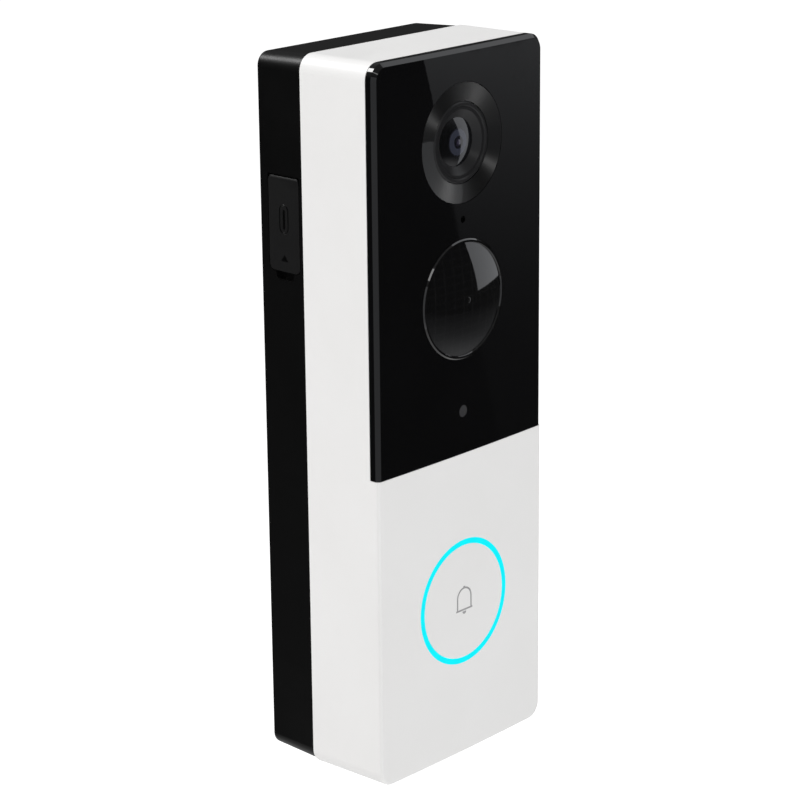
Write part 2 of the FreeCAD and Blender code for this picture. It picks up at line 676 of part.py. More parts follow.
def front_housing():
    """White front shell: shallow below, stepped back behind the dark panel."""
    body = new_body("front_housing")
    sketch = front_sketch(body, "front_outline")
    rectangle(sketch, -HALF_WIDTH, HALF_WIDTH, -HALF_HEIGHT, HALF_HEIGHT, S.corner_radius)
    pad(body, sketch, S.seam_depth)
    crown_cut(body, "front_crown")

    sketch = front_sketch(body, "panel_seat")
    rectangle(sketch, -S.unit_width, S.unit_width, S.glass_bottom, S.unit_height)
    pocket(body, sketch, LEDGE_FRONT)

    sketch = front_sketch(body, "front_cavity", S.seam_depth)
    rectangle(sketch, -INNER_HALF_WIDTH, INNER_HALF_WIDTH,
              -INNER_HALF_HEIGHT, INNER_HALF_HEIGHT, INNER_CORNER)
    pocket(body, sketch, S.seam_depth - LEDGE_BACK, "front")

    sketch = front_sketch(body, "lower_cavity", LEDGE_BACK)
    rectangle(sketch, -INNER_HALF_WIDTH, INNER_HALF_WIDTH, -INNER_HALF_HEIGHT,
              S.glass_bottom - S.ledge_wall, INNER_CORNER)
    pocket(body, sketch, LEDGE_BACK - S.front_wall, "front")

    bosses = front_sketch(body, "front_bosses", S.seam_depth)
    for x, z in screw_places():
        circle(bosses, x, z, S.boss_radius)
    pad(body, bosses, S.seam_depth - LEDGE_BACK, "front")
    bores = front_sketch(body, "front_screw_bores", S.seam_depth)
    for x, z in screw_places():
        circle(bores, x, z, S.screw_radius + S.screw_play)
    pocket(body, bores, S.seam_depth - S.screw_tip_depth + S.overcut, "front")

    front_posts(body)

    holes = front_sketch(body, "front_holes")
    circle(holes, 0, S.camera_height, S.bezel_radius + S.hole_gap)
    circle(holes, 0, S.pir_height, S.pir_radius + S.hole_gap)
    circle(holes, 0, S.mic_height, S.mic_hole_radius)
    circle(holes, 0, S.status_height, S.status_radius + S.hole_gap)
    circle(holes, 0, S.button_height, S.ring_outer + S.seal_gap)
    for x in mirror_pair([S.infrared_x]):
        circle(holes, x, S.mic_height, S.infrared_radius + S.loose_gap)
    pocket(body, holes, LEDGE_BACK + HAIR)

    slots = sketch_on(body, "XY_Plane", "speaker_slots", -S.unit_height)
    speaker_middle = S.speaker_front_depth + S.speaker_depth / 2
    for i in range(SLOT_COUNT):
        x = S.slot_pitch * (i - (SLOT_COUNT - 1) / 2)
        rectangle(slots, x - S.slot_width / 2, x + S.slot_width / 2,
                  speaker_middle - S.slot_length / 2, speaker_middle + S.slot_length / 2,
                  S.slot_width / 2 - HAIR)
    feature = body.newObject("PartDesign::Pocket", "speaker_slots_cut")
    feature.Profile = slots
    feature.Reversed = True
    bind(feature, "Length", S.unit_height - INNER_HALF_HEIGHT + S.overcut)
    check_change(body, feature, -1)

    groove = front_sketch(body, "seal_groove", S.seam_depth)
    seal_outline(groove, 0)
    pocket(body, groove, S.gasket_deep, "front")

    round_edges(body, S.edge_round, lambda edge: outer_loop(edge, S.seam_depth), "seam_round")
    round_edges(body, S.front_round, lower_front_edge, "front_edge_round")
    return body


def screw_places():
    """The four places of the shell screws."""
    return [(SCREW_X * i, SCREW_Z * k) for i in BOTH_SIDES for k in BOTH_SIDES]


def front_posts(body):
    """Screw posts on the inside of the front, each group as high as its board."""
    groups = [
        ("camera_posts", side_posts(S.camera_height), S.camera_board_depth, LEDGE_BACK),
        ("pir_posts", side_posts(S.pir_height), S.pir_board_depth, LEDGE_BACK),
        ("bar_posts", bar_posts(), S.bar_board_depth, LEDGE_BACK),
        ("button_posts", button_posts(), S.button_board_depth, S.front_wall),
    ]
    for name, places, depth, wall in groups:
        posts = front_sketch(body, name, depth)
        for x, z in places:
            circle(posts, x, z, S.post_radius)
        pad(body, posts, depth - wall, "front")
        bores = front_sketch(body, name + "_bores", depth)
        for x, z in places:
            circle(bores, x, z, S.small_screw_radius + S.screw_play)
        pocket(body, bores, S.small_screw_length - S.bore_short, "front")


def side_posts(height):
    """Two posts beside the camera or the motion sensor."""
    return [(x, height) for x in mirror_pair([S.side_post_x])]


def bar_posts():
    """Two posts of the bar board."""
    return [(x, S.mic_height) for x in mirror_pair([S.bar_post_x])]


def button_posts():
    """Four posts around the button."""
    return [(S.board_post_x * i, S.button_height + S.board_post_z * k)
            for i in BOTH_SIDES for k in BOTH_SIDES]


def main_posts():
    """Four posts of the main board."""
    low = S.main_board_bottom + S.main_post_inset
    high = S.main_board_top - S.main_post_inset
    return [(S.main_post_x * i, z) for i in BOTH_SIDES for z in (low, high)]


def seal_outline(sketch, gap):
    """The two outlines of the seal or its groove, following the outside of the shell."""
    for inset in (S.gasket_inset + gap, S.gasket_inset + S.gasket_width - gap):
        rectangle(sketch, -HALF_WIDTH + inset, HALF_WIDTH - inset,
                  -HALF_HEIGHT + inset, HALF_HEIGHT - inset, S.corner_radius - inset)


def outer_loop(edge, y):
    """Whether an edge belongs to the outer outline in the plane at this depth."""
    if not in_plane(edge, y):
        return False
    margin = S.corner_radius.number + HAIR
    middle = edge.CenterOfMass
    beyond_side = abs(middle.x) > HALF_WIDTH.number - margin * 0.4
    beyond_end = abs(middle.z) > HALF_HEIGHT.number - margin * 0.4
    corner = (abs(middle.x) > HALF_WIDTH.number - margin and
              abs(middle.z) > HALF_HEIGHT.number - margin and
              edge.BoundBox.XLength > S.corner_radius.number * 0.95)
    return outermost(edge) and (beyond_side or beyond_end or corner)


def outermost(edge):
    """Whether an edge reaches the outside of the shell."""
    box = edge.BoundBox
    reach_x = max(abs(box.XMin), abs(box.XMax))
    reach_z = max(abs(box.ZMin), abs(box.ZMax))
    tolerance = 1e-3
    return (reach_x > HALF_WIDTH.number - tolerance or
            reach_z > HALF_HEIGHT.number - tolerance)


def lower_front_edge(edge):
    """Whether an edge is on the outer edge of the white lower front."""
    box = edge.BoundBox
    near_front = box.YMax < S.crown.number + HAIR
    below_panel = box.ZMax < S.glass_bottom.number + HAIR
    along_panel = box.ZLength < HAIR and box.ZMin > -HALF_HEIGHT.number + 1.0
    return near_front and below_panel and outermost(edge) and not along_panel


def rear_housing():
    """Black rear shell, tapering to the wall, with the recess for the bracket."""
    body = new_body("rear_housing")
    half_width = HALF_WIDTH - S.seam_step
    half_height = HALF_HEIGHT - S.seam_step
    sketch = front_sketch(body, "rear_outline", S.seam_depth)
    rectangle(sketch, -half_width, half_width, -half_height, half_height, S.corner_radius)
    pad(body, sketch, S.unit_depth - S.seam_depth, "back", -S.draft_angle)
    round_edges(body, S.rear_round, lambda edge: in_plane(edge, S.unit_depth), "rear_edge_round")

    sketch = front_sketch(body, "rear_cavity", S.seam_depth)
    rectangle(sketch, -REAR_INNER_HALF_WIDTH, REAR_INNER_HALF_WIDTH,
              -REAR_INNER_HALF_HEIGHT, REAR_INNER_HALF_HEIGHT, INNER_CORNER)
    pocket(body, sketch, REAR_FLOOR - S.seam_depth)

    relief = front_sketch(body, "side_channels", REAR_FLOOR)
    inner_edge = RECESS_HALF_WIDTH + S.tab_reach + S.loose_gap + S.rear_wall
    channel_end = SCREW_Z - S.boss_radius - S.rear_wall
    for side in BOTH_SIDES:
        edges = sorted([inner_edge * side, (REAR_INNER_HALF_WIDTH - S.channel_inset) * side],
                       key=lambda item: item.number)
        rectangle(relief, edges[0], edges[1], -channel_end, channel_end)
    pocket(body, relief, S.unit_depth - S.shell_wall - REAR_FLOOR)

    bosses = front_sketch(body, "rear_bosses", S.seam_depth)
    for x, z in screw_places():
        circle(bosses, x, z, S.boss_radius)
    pad(body, bosses, REAR_FLOOR - S.seam_depth)
    seats = front_sketch(body, "screw_seats", S.unit_depth)
    for x, z in screw_places():
        circle(seats, x, z, S.screw_head_radius + S.head_play)
    pocket(body, seats, S.screw_sink, "front")
    bores = front_sketch(body, "rear_screw_bores", S.unit_depth)
    for x, z in screw_places():
        circle(bores, x, z, S.screw_radius + S.loose_gap)
    pocket(body, bores, S.unit_depth - S.seam_depth + S.overcut, "front")

    posts = front_sketch(body, "main_posts", MAIN_BOARD_BACK)
    for x, z in main_posts():
        circle(posts, x, z, S.post_radius)
    pad(body, posts, REAR_FLOOR - MAIN_BOARD_BACK + S.joined_overlap)
    bores = front_sketch(body, "main_post_bores", MAIN_BOARD_BACK)
    for x, z in main_posts():
        circle(bores, x, z, S.small_screw_radius + S.screw_play)
    pocket(body, bores, S.small_screw_length - S.main_bore_short)

    bracket_recess(body)
    port_recess(body)
    return body


def bracket_recess(body):
    """The recess, its grooves and entry notches for the bracket's tabs, and the catch rib."""
    half_height = S.bracket_height / 2 + S.bracket_side_gap
    sketch = front_sketch(body, "bracket_recess", S.unit_depth)
    rectangle(sketch, -RECESS_HALF_WIDTH, RECESS_HALF_WIDTH,
              -half_height - S.lift_travel, half_height, S.bracket_corner)
    pocket(body, sketch, RECESS_DEEP, "front")

    groove_edge = S.bracket_width / 2 + S.tab_reach + S.bracket_side_gap
    for name, tab_half, start, deep in tab_cuts():
        sketch = front_sketch(body, name, start)
        for tab in tab_heights():
            middle = tab - S.lift_travel if name == "entry_notches" else tab - S.lift_travel / 2
            rectangle(sketch, -groove_edge, groove_edge, middle - tab_half, middle + tab_half)
        pocket(body, sketch, deep, "front")

    rib_top = latch_foot() - S.joint_gap
    rib = front_sketch(body, "catch_rib", RECESS_FLOOR)
    rectangle(rib, -S.catch_width / 2, S.catch_width / 2, rib_top - S.catch_thickness, rib_top)
    pad(body, rib, S.catch_height)


def tab_cuts():
    """Name, half height, start depth and depth of the grooves and of the entry notches."""
    groove_half = S.tab_length / 2 + S.lift_travel / 2 + S.notch_play
    groove_back = BRACKET_FRONT + S.tab_thickness + S.loose_gap
    notch_half = S.tab_length / 2 + S.notch_play
    return [
        ("tab_grooves", groove_half, groove_back, groove_back - RECESS_FLOOR),
        ("entry_notches", notch_half, S.unit_depth, RECESS_DEEP),
    ]


def tab_heights():
    """Heights of the three pairs of tabs."""
    return [S.tab_spacing * i for i in (-1, 0, 1)]


def latch_foot():
    """Height at which the latch ramp starts, just above the catch rib."""
    return S.latch_top - S.latch_length + S.latch_foot_up


def side_x(depth):
    """Outer side of the rear shell at a depth, on the -X side."""
    return -(HALF_WIDTH - S.seam_step - (depth - S.seam_depth) * tangent_of(S.draft_angle))


def tilt_to_side(item):
    """Stand a piece on the tapering -X side: its X points inwards, at the flap's middle."""
    item.Placement = Placement(Vector(), Rotation(Vector(0, 0, -1), S.draft_angle.number))
    bind(item, ".Placement.Rotation.Angle", S.draft_angle)
    place(item, side_x(PORT_AXIS_DEPTH), FRONT_Y + PORT_AXIS_DEPTH, S.cover_middle)


def side_sketch(body, name, inwards):
    """A sketch on the tapering side of the rear shell; local X runs towards the wall."""
    sketch = body.newObject("Sketcher::SketchObject", name)
    plane = [item for item in body.Origin.OriginFeatures if item.Role == "YZ_Plane"][0]
    sketch.AttachmentSupport = [(plane, "")]
    sketch.MapMode = "FlatFace"
    turn = Rotation(Vector(0, -1, 0), S.draft_angle.number)
    sketch.AttachmentOffset = Placement(Vector(), turn)
    bind(sketch, ".AttachmentOffset.Rotation.Angle", S.draft_angle)
    shift = size(inwards)
    cosine = Size(math.cos(math.radians(S.draft_angle.number)), "cos(sizes.draft_angle * 1deg)")
    sine = Size(math.sin(math.radians(S.draft_angle.number)), "sin(sizes.draft_angle * 1deg)")
    bind(sketch, ".AttachmentOffset.Base.x", PORT_AXIS_DEPTH - shift * sine)
    bind(sketch, ".AttachmentOffset.Base.y", S.cover_middle)
    bind(sketch, ".AttachmentOffset.Base.z", side_x(PORT_AXIS_DEPTH) + shift * cosine)
    return sketch


def port_recess(body):
    """The wall pad, the flap's seat, the finger notch and the holes behind the flap."""
    half_width = S.cover_width / 2 + S.loose_gap
    half_height = S.cover_height / 2 + S.loose_gap

    wall = side_sketch(body, "port_pad", S.pad_depth)
    edge = S.shell_wall
    rectangle(wall, -half_width - S.pad_margin, half_width - S.pad_set_in,
              -half_height - edge, half_height + edge)
    seat_deep = S.cover_thickness + S.loose_gap
    feature = pad(body, wall, S.pad_depth - seat_deep - S.pad_below_seat, "front")
    feature.Reversed = True
    check_change(body, feature, 1)

    seat = side_sketch(body, "cover_seat", 0)
    rectangle(seat, -half_width, half_width, -half_height, half_height,
              S.cover_corner + S.loose_gap)
    side_cut(body, seat, seat_deep)

    relief = side_sketch(body, "hinge_relief", 0)
    rectangle(relief, -half_width, half_width, half_height - S.relief_length, half_height,
              S.relief_corner)
    side_cut(body, relief, seat_deep)

    notch = side_sketch(body, "finger_notch", 0)
    rectangle(notch, -S.notch_width / 2, S.notch_width / 2, -half_height - S.notch_height,
              -half_height + S.notch_height, S.notch_height * S.notch_round)
    side_cut(body, notch, S.notch_depth)

    holes = side_sketch(body, "port_holes", 0)
    across = S.port_hole_height / 2
    middle = S.port_height - S.cover_middle
    rectangle(holes, -across, across, middle - S.port_hole_width / 2,
              middle + S.port_hole_width / 2, across - HAIR)
    circle(holes, 0, S.sync_height - S.cover_middle, S.sync_radius + S.fit_gap)
    low, high = anchor_heights()
    rectangle(holes, -anchor_half(), anchor_half(), low, high)
    side_cut(body, holes, S.pad_depth + S.overcut)


def side_cut(body, sketch, deep):
    """Cut inwards from a sketch on the tapering side."""
    feature = body.newObject("PartDesign::Pocket", sketch.Name + "_cut")
    feature.Profile = sketch
    feature.Reversed = True
    bind(feature, "Length", deep)
    check_change(body, feature, -1)


def anchor_heights():
    """Lower and upper side of the anchor stem, above the flap's middle."""
    top = S.cover_height / 2 - S.anchor_drop
    return top - S.anchor_height, top


def anchor_half():
    """Half width of the anchor stem."""
    return S.cover_width / 2 - S.anchor_inset


def housing_gasket():
    """Soft ring between the two shells."""
    body = new_body("housing_gasket")
    sketch = front_sketch(body, "seal_profile", S.seam_depth)
    seal_outline(sketch, S.seal_gap)
    pad(body, sketch, S.gasket_deep - S.seal_gap, "front")
    return body


# ---------------------------------------------------------------- front panel

def front_glass():
    """Dark front panel with a bevelled outer edge."""
    body = new_body("front_glass")
    sketch = front_sketch(body, "panel_outline")
    rectangle(sketch, -HALF_WIDTH, HALF_WIDTH, -HALF_HEIGHT, HALF_HEIGHT, S.corner_radius)
    pad(body, sketch, S.glass_thickness)
    crown_cut(body, "panel_crown")
    sketch = front_sketch(body, "panel_end")
    rectangle(sketch, -S.unit_width, S.unit_width, -S.unit_height,
              S.glass_bottom + S.glass_joint)
    pocket(body, sketch, S.glass_thickness + S.overcut)
    doc.recompute()
    base = body.Tip
    bevelled = ["Edge%d" % (i + 1) for i, edge in enumerate(base.Shape.Edges)
                if edge.BoundBox.YMax < S.crown.number + HAIR and outermost(edge)
                and edge.BoundBox.ZMax > 0]
    feature = body.newObject("PartDesign::Chamfer", "panel_bevel")
    feature.Base = (base, bevelled)
    bind(feature, "Size", S.glass_bevel_in)
    check_change(body, feature, -1)
    holes = front_sketch(body, "panel_holes", -S.crown)
    circle(holes, 0, S.camera_height, S.bezel_radius + S.hole_gap)
    circle(holes, 0, S.pir_height, S.pir_radius + S.hole_gap)
    circle(holes, 0, S.mic_height, S.mic_hole_radius)
    circle(holes, 0, S.status_height, S.status_radius + S.hole_gap)
    pocket(body, holes, S.glass_thickness + S.crown + S.overcut)
    return body


def panel_adhesive():
    """Thin adhesive sheet with the same openings as the panel."""
    body = new_body("panel_adhesive")
    sketch = front_sketch(body, "sheet_outline", S.glass_thickness)
    edge = S.adhesive_inset
    rectangle(sketch, -HALF_WIDTH + edge, HALF_WIDTH - edge, S.glass_bottom + edge,
              HALF_HEIGHT - edge, S.corner_radius - edge)
    wider = S.adhesive_play
    circle(sketch, 0, S.camera_height, S.bezel_radius + wider)
    circle(sketch, 0, S.pir_height, S.pir_radius + wider)
    circle(sketch, 0, S.mic_height, S.mic_hole_radius)
    circle(sketch, 0, S.status_height, S.status_radius + wider)
    for x in mirror_pair([S.infrared_x]):
        circle(sketch, x, S.mic_height, S.infrared_radius + wider)
    pad(body, sketch, S.adhesive_thickness)
    return body


# ---------------------------------------------------------------- camera

def camera():
    """Dished ring, lens, barrel, holder, sensor and board on one axis.

    The crown has fallen by a quarter halfway to the side, which is where the ring ends.
    """
    height = S.camera_height
    rim = S.crown / 4
    dish = rim + S.bezel_dish
    flange_back = LEDGE_BACK + S.flange_thickness
    bezel = turned("camera_bezel", 0, height, [
        (rim, S.bezel_radius), (LEDGE_BACK, S.bezel_radius),
        (LEDGE_BACK, S.bezel_radius + S.flange_step),
        (flange_back, S.bezel_radius + S.flange_step), (flange_back, S.bezel_bore),
        (dish, S.bezel_bore)])

    lip_front = rim + S.bezel_dish / 2
    lip_outer = S.bezel_bore - S.hole_gap
    step = dish + S.lip_step
    seat = S.lens_radius + S.joint_gap
    barrel_front = S.lens_back_depth + S.joint_gap
    ring = turned("lens_ring", 0, height, [
        (dish + S.fit_gap, lip_outer), (lip_front, lip_outer - S.lip_slope),
        (lip_front, lip_outer - S.lip_inside), (step, lip_outer - S.lip_foot),
        (step, lip_outer - S.cone_rim), (S.lens_edge_depth, seat),
        (barrel_front, seat), (barrel_front, lip_outer)])

    front = S.lens_edge_depth - S.lens_dome
    lens = turned("front_lens", 0, height, [
        (front, 0), (S.lens_edge_depth, S.lens_radius), (S.lens_back_depth, S.lens_radius),
        (S.lens_back_depth, S.lens_radius * S.lens_bowl), (front + S.lens_middle, 0)], domes=(0, 3))

    bore = S.lens_radius + S.fit_gap
    shoulder = barrel_front + S.stop_room
    tail = S.barrel_neck * S.barrel_tail
    barrel = turned("lens_barrel", 0, height, [
        (barrel_front, bore), (barrel_front, S.barrel_radius),
        (S.barrel_step_depth, S.barrel_radius), (S.barrel_step_depth, S.barrel_neck),
        (S.barrel_end_depth, S.barrel_neck), (S.barrel_end_depth, tail),
        (shoulder, tail), (shoulder, bore)])

    stop = turned("aperture_stop", 0, height, [
        (shoulder - S.stop_lip, S.stop_radius), (shoulder - S.stop_rim, bore - S.joint_gap),
        (shoulder, bore - S.joint_gap), (shoulder, S.stop_radius)])

    chamber_side = S.holder_side - S.chamber_set_in
    holder = cut("lens_holder", block(
        "holder_block", around(0, S.holder_side), (S.holder_front_depth, S.camera_board_depth),
        around(height, S.holder_side)), [
            rod("holder_bore", S.barrel_radius + S.seal_gap,
                (S.holder_front_depth - S.overcut, S.barrel_step_depth + S.fit_gap), 0, height),
            rod("holder_neck", S.barrel_neck + S.seal_gap,
                (S.holder_front_depth, S.barrel_end_depth + S.fit_gap), 0, height),
            block("holder_chamber", around(0, chamber_side),
                  (S.barrel_end_depth, S.camera_board_depth + S.overcut),
                  around(height, chamber_side))])

    sensor = block("image_sensor", around(0, S.image_sensor_side),
                   (S.camera_board_depth - S.image_sensor_thickness, S.camera_board_depth),
                   around(height, S.image_sensor_side))
    board = cut("camera_board", block(
        "camera_board_plate", around(0, S.side_post_x * 2 + S.post_radius * 2),
        (S.camera_board_depth, S.camera_board_depth + S.thin_board),
        around(height, S.holder_side + S.camera_board_margin)),
        screw_holes("camera_board", side_posts(height), S.camera_board_depth, S.thin_board))
    gasket = turned("camera_gasket", 0, height, [
        (flange_back, S.bezel_bore + S.camera_gasket_clear), (flange_back, S.bezel_radius),
        (S.holder_front_depth, S.bezel_radius), (S.holder_front_depth, S.bezel_bore + S.camera_gasket_clear)])
    return [bezel, ring, lens, barrel, stop, holder, sensor, board, gasket]


def around(middle, width):
    """The range of this width around a middle."""
    half = size(width) / 2
    return size(middle) - half, size(middle) + half


def screw_holes(name, places, depth, thickness):
    """Clearance holes through a board."""
    return [rod("%s_hole_%d" % (name, i), S.small_screw_radius + S.loose_gap,
                (depth - S.overcut, depth + thickness + S.overcut), x, z)
            for i, (x, z) in enumerate(places)]


# ---------------------------------------------------------------- sensors

def motion_sensor():
    """Domed lens, shroud, sensor can and board."""
    height = S.pir_height
    rim = -S.pir_rim_proud
    skirt_inner = S.pir_radius - S.pir_skirt
    bead_foot = rim + S.pir_bead_height
    flange_back = LEDGE_BACK + S.flange_thickness
    lens = turned("pir_lens", 0, height, [
        (-S.pir_dome, 0), (bead_foot, S.pir_radius - S.pir_bead_foot),
        (rim, S.pir_radius - S.pir_bead_inner), (rim, S.pir_radius - S.pir_bead_outer),
        (bead_foot, S.pir_radius), (LEDGE_BACK, S.pir_radius),
        (LEDGE_BACK, S.pir_radius + S.pir_flange), (flange_back, S.pir_radius + S.pir_flange),
        (flange_back, skirt_inner), (bead_foot + S.pir_lens_wall, skirt_inner),
        (-S.pir_dome + S.pir_lens_wall, 0)], domes=(0, 9))

    can_front = S.pir_board_depth - S.can_height
    shroud_end = S.pir_board_depth - S.shroud_gap
    shroud_outer = S.pir_radius + S.shroud_flange
    shroud_bore = S.can_radius + S.shroud_bore
    holder = turned("pir_holder", 0, height, [
        (flange_back, skirt_inner), (flange_back, shroud_outer),
        (flange_back + S.shroud_step, shroud_outer), (shroud_end, S.can_radius + S.shroud_foot),
        (shroud_end, shroud_bore), (shroud_end - S.shroud_lip, shroud_bore)])

    rim_front = S.pir_board_depth - S.can_rim_height
    sensor = join("pir_sensor", [
        rod("pir_can", S.can_radius, (can_front, rim_front + S.joined_overlap), 0, height),
        rod("pir_can_rim", S.can_radius + S.can_rim, (rim_front, S.pir_board_depth), 0, height)])
    board = cut("pir_board", block(
        "pir_board_plate", around(0, S.side_post_x * 2 + S.post_radius * 2),
        (S.pir_board_depth, S.pir_board_depth + S.thin_board), around(height, S.pir_board_height)),
        screw_holes("pir_board", side_posts(height), S.pir_board_depth, S.thin_board))
    return [lens, holder, sensor, board]


def bar_board():
    """Narrow board with the night lights and the microphone."""
    height = S.mic_height
    board_range = (S.bar_board_depth, S.bar_board_depth + S.bar_board_thickness)
    board = cut("sensor_bar_board", block(
        "bar_plate", around(0, S.infrared_x * 2 + S.bar_board_ends), board_range,
        around(height, S.bar_board_half * 2)),
        screw_holes("bar_board", bar_posts(), S.bar_board_depth, S.bar_board_thickness))
    lights = group("infrared_leds", [
        rod("infrared_%d" % i, S.infrared_radius,
            (S.ledge_wall + S.infrared_set_back, S.bar_board_depth), x, height)
        for i, x in enumerate(mirror_pair([S.infrared_x]))])
    mic_front = S.bar_board_depth - S.microphone_thickness
    mic = block("microphone", around(0, S.microphone_width), (mic_front, S.bar_board_depth),
                around(height, S.microphone_height))
    boot = cut("microphone_boot", block(
        "boot_block", around(0, S.boot_width), (LEDGE_BACK, mic_front),
        around(height, S.boot_height)), [
            rod("boot_channel", S.mic_hole_radius,
                (LEDGE_BACK - S.overcut, S.bar_board_depth), 0, height)])
    return [board, lights, mic, boot]


def status_light():
    """Light pipe of the status light and light sensor."""
    flange_back = LEDGE_BACK + S.flange_thickness
    flange = S.status_radius + S.pipe_flange
    end = S.button_board_depth - S.pipe_gap
    return turned("light_pipe", 0, S.status_height, [
        (S.loose_gap, 0), (S.loose_gap, S.status_radius), (LEDGE_BACK, S.status_radius),
        (LEDGE_BACK, flange), (flange_back, flange), (flange_back, S.status_radius),
        (end, S.status_radius), (end, 0)])


# ---------------------------------------------------------------- bell button

def bell_button():
    """Light ring, button, switch, board and lights."""
    height = S.button_height
    skirt_outer = S.ring_outer + S.ring_skirt
    skirt_inner = S.ring_outer + S.loose_gap
    skirt_end = S.button_board_depth - S.ring_foot_gap
    ring = turned("light_ring", 0, height, [
        (0, S.ring_inner), (0, S.ring_outer), (S.front_wall, S.ring_outer),
        (S.front_wall, skirt_outer), (skirt_end, skirt_outer), (skirt_end, skirt_inner),
        (S.ring_back_depth, skirt_inner), (S.ring_back_depth, S.ring_inner)])
    crown_cut(ring, "ring_crown")

    radius = S.ring_inner - S.fit_gap
    flange_front = S.ring_back_depth + S.joint_gap
    flange_back = flange_front + S.cap_flange
    post_end = flange_back + S.cap_post
    cap = turned("button_cap", 0, height, [
        (0, 0), (0, radius), (flange_front, radius), (flange_front, S.ring_outer - S.fit_gap),
        (flange_back, S.ring_outer - S.fit_gap), (flange_back, radius - S.cap_wall),
        (S.button_skin, radius - S.cap_wall), (S.button_skin, S.cap_post_radius),
        (post_end, S.cap_post_radius), (post_end, 0)])
    crown_cut(cap, "cap_crown")

    switch_front = post_end + S.button_travel + S.fit_gap
    plunger = rod("switch_plunger", S.plunger_radius,
                  (post_end, S.button_board_depth - S.button_travel - S.fit_gap), 0, height)
    switch = cut("button_switch", block(
        "switch_block", around(0, S.button_switch_side), (switch_front, S.button_board_depth),
        around(height, S.button_switch_side)),
        [rod("switch_bore", S.plunger_radius + S.fit_gap / 2,
             (switch_front - S.overcut, S.button_board_depth + S.overcut), 0, height)])

    board_range = (S.button_board_depth, S.button_board_depth + S.thin_board)
    tongue_top = S.status_height + S.tongue_beyond
    plate = join("button_board_plate", [
        block("button_board_main", around(0, S.board_post_x * 2 + S.post_radius * 2), board_range,
              around(height, S.board_post_z * 2 + S.post_radius * 2)),
        block("button_board_tongue", around(0, S.tongue_width), board_range, (height, tongue_top))])
    board = cut("button_board", plate, screw_holes("button_board", button_posts(),
                                                   S.button_board_depth, S.thin_board))
    lights = []
    led_range = (S.button_board_depth - S.led_height, S.button_board_depth)
    for i in range(LED_COUNT):
        angle = 2 * math.pi * (i + 0.5) / LED_COUNT
        lights.append(block("ring_light_%d" % i,
                            around(S.led_circle * math.cos(angle), S.led_side), led_range,
                            around(height + S.led_circle * math.sin(angle), S.led_side)))
    lights.append(block("status_led", around(0, S.led_side), led_range,
                        around(S.status_height, S.led_side)))
    return [ring, cap, plunger, switch, board, group("board_leds", lights)]


# ---------------------------------------------------------------- power and sound

def battery():
    """Two cells side by side in a tray, with contact strips at both ends."""
    cell_top = S.cell_bottom + S.cell_length
    middles = mirror_pair([S.cell_pitch / 2])
    cells = group("battery_cells", [
        upright("cell_%d" % i, S.cell_radius, x, CELL_AXIS_DEPTH, (S.cell_bottom, cell_top))
        for i, x in enumerate(middles)])

    gap = S.contact_thickness + S.joint_gap
    inside_half = S.cell_pitch / 2 + S.cell_radius + S.fit_gap
    tray_floor = CELL_AXIS_DEPTH + S.cell_radius + S.joint_gap
    outside_half = inside_half + S.holder_side_wall
    tray = cut("battery_holder", block(
        "tray_block", (-outside_half, outside_half),
        (CELL_AXIS_DEPTH - S.cell_radius / 2, tray_floor + S.holder_wall),
        (S.cell_bottom - gap - S.holder_wall, cell_top + gap + S.holder_wall)), [
            block("tray_space", (-inside_half, inside_half),
                  (CELL_AXIS_DEPTH - S.cell_radius, tray_floor),
                  (S.cell_bottom - gap, cell_top + gap))])

    strips = []
    for i, x in enumerate(middles):
        for k, low in enumerate((S.cell_bottom - S.contact_thickness, cell_top)):
            strips.append(block("contact_%d_%d" % (i, k), around(x, S.contact_width),
                                around(CELL_AXIS_DEPTH, S.contact_depth),
                                (low, low + S.contact_thickness)))
    return [cells, tray, group("battery_contacts", strips)]


def speaker():
    """Speaker that fires down through the slots, on a foam gasket."""
    depth_range = (S.speaker_front_depth, S.speaker_front_depth + S.speaker_depth)
    low = -INNER_HALF_HEIGHT + S.gasket_thickness
    driver = join("speaker", [
        block("speaker_frame", around(0, S.speaker_width), depth_range,
              (low, low + S.speaker_height * S.frame_share)),
        block("speaker_magnet", around(0, S.magnet_width),
              around(S.speaker_front_depth + S.speaker_depth / 2, S.magnet_depth),
              (low + S.speaker_height * S.magnet_start, low + S.speaker_height))])
    edge = S.speaker_gasket_width
    gasket = cut("speaker_gasket", block(
        "gasket_sheet", around(0, S.speaker_width), depth_range,
        (-INNER_HALF_HEIGHT, low)), [block(
            "gasket_opening", around(0, S.speaker_width - edge * 2),
            (S.speaker_front_depth + edge, S.speaker_front_depth + S.speaker_depth - edge),
            (-INNER_HALF_HEIGHT - S.overcut, low + S.overcut))])
    return [driver, gasket]


# ---------------------------------------------------------------- main board and port

def main_board():
    """Main board with its shield can, camera connector, and aerial with its lead."""
    front = S.main_board_depth
    height_range = (S.main_board_bottom, S.main_board_top)
    board = cut("main_board", block(
        "main_board_plate", (-MAIN_BOARD_HALF, MAIN_BOARD_HALF), (front, MAIN_BOARD_BACK),
        height_range), screw_holes("main_board", main_posts(), front, S.main_board_thickness))
    shield = block("shield_can", around(S.shield_x, S.shield_width),
                   (front - S.shield_thickness, front), around(S.shield_middle, S.shield_length))
    connector = block("board_connector", around(S.connector_x, S.connector_width),
                      (front - S.connector_thickness, front),
                      around(S.connector_middle, S.connector_length))
    aerial_x = INNER_HALF_WIDTH - S.fit_gap
    aerial_inside = aerial_x - S.aerial_thickness
    aerial = block("wifi_antenna", (aerial_inside, aerial_x),
                   around(S.aerial_middle_depth, S.aerial_depth),
                   around(S.aerial_middle, S.aerial_length))
    return [board, shield, connector, aerial, antenna_cable(aerial_inside, front)]


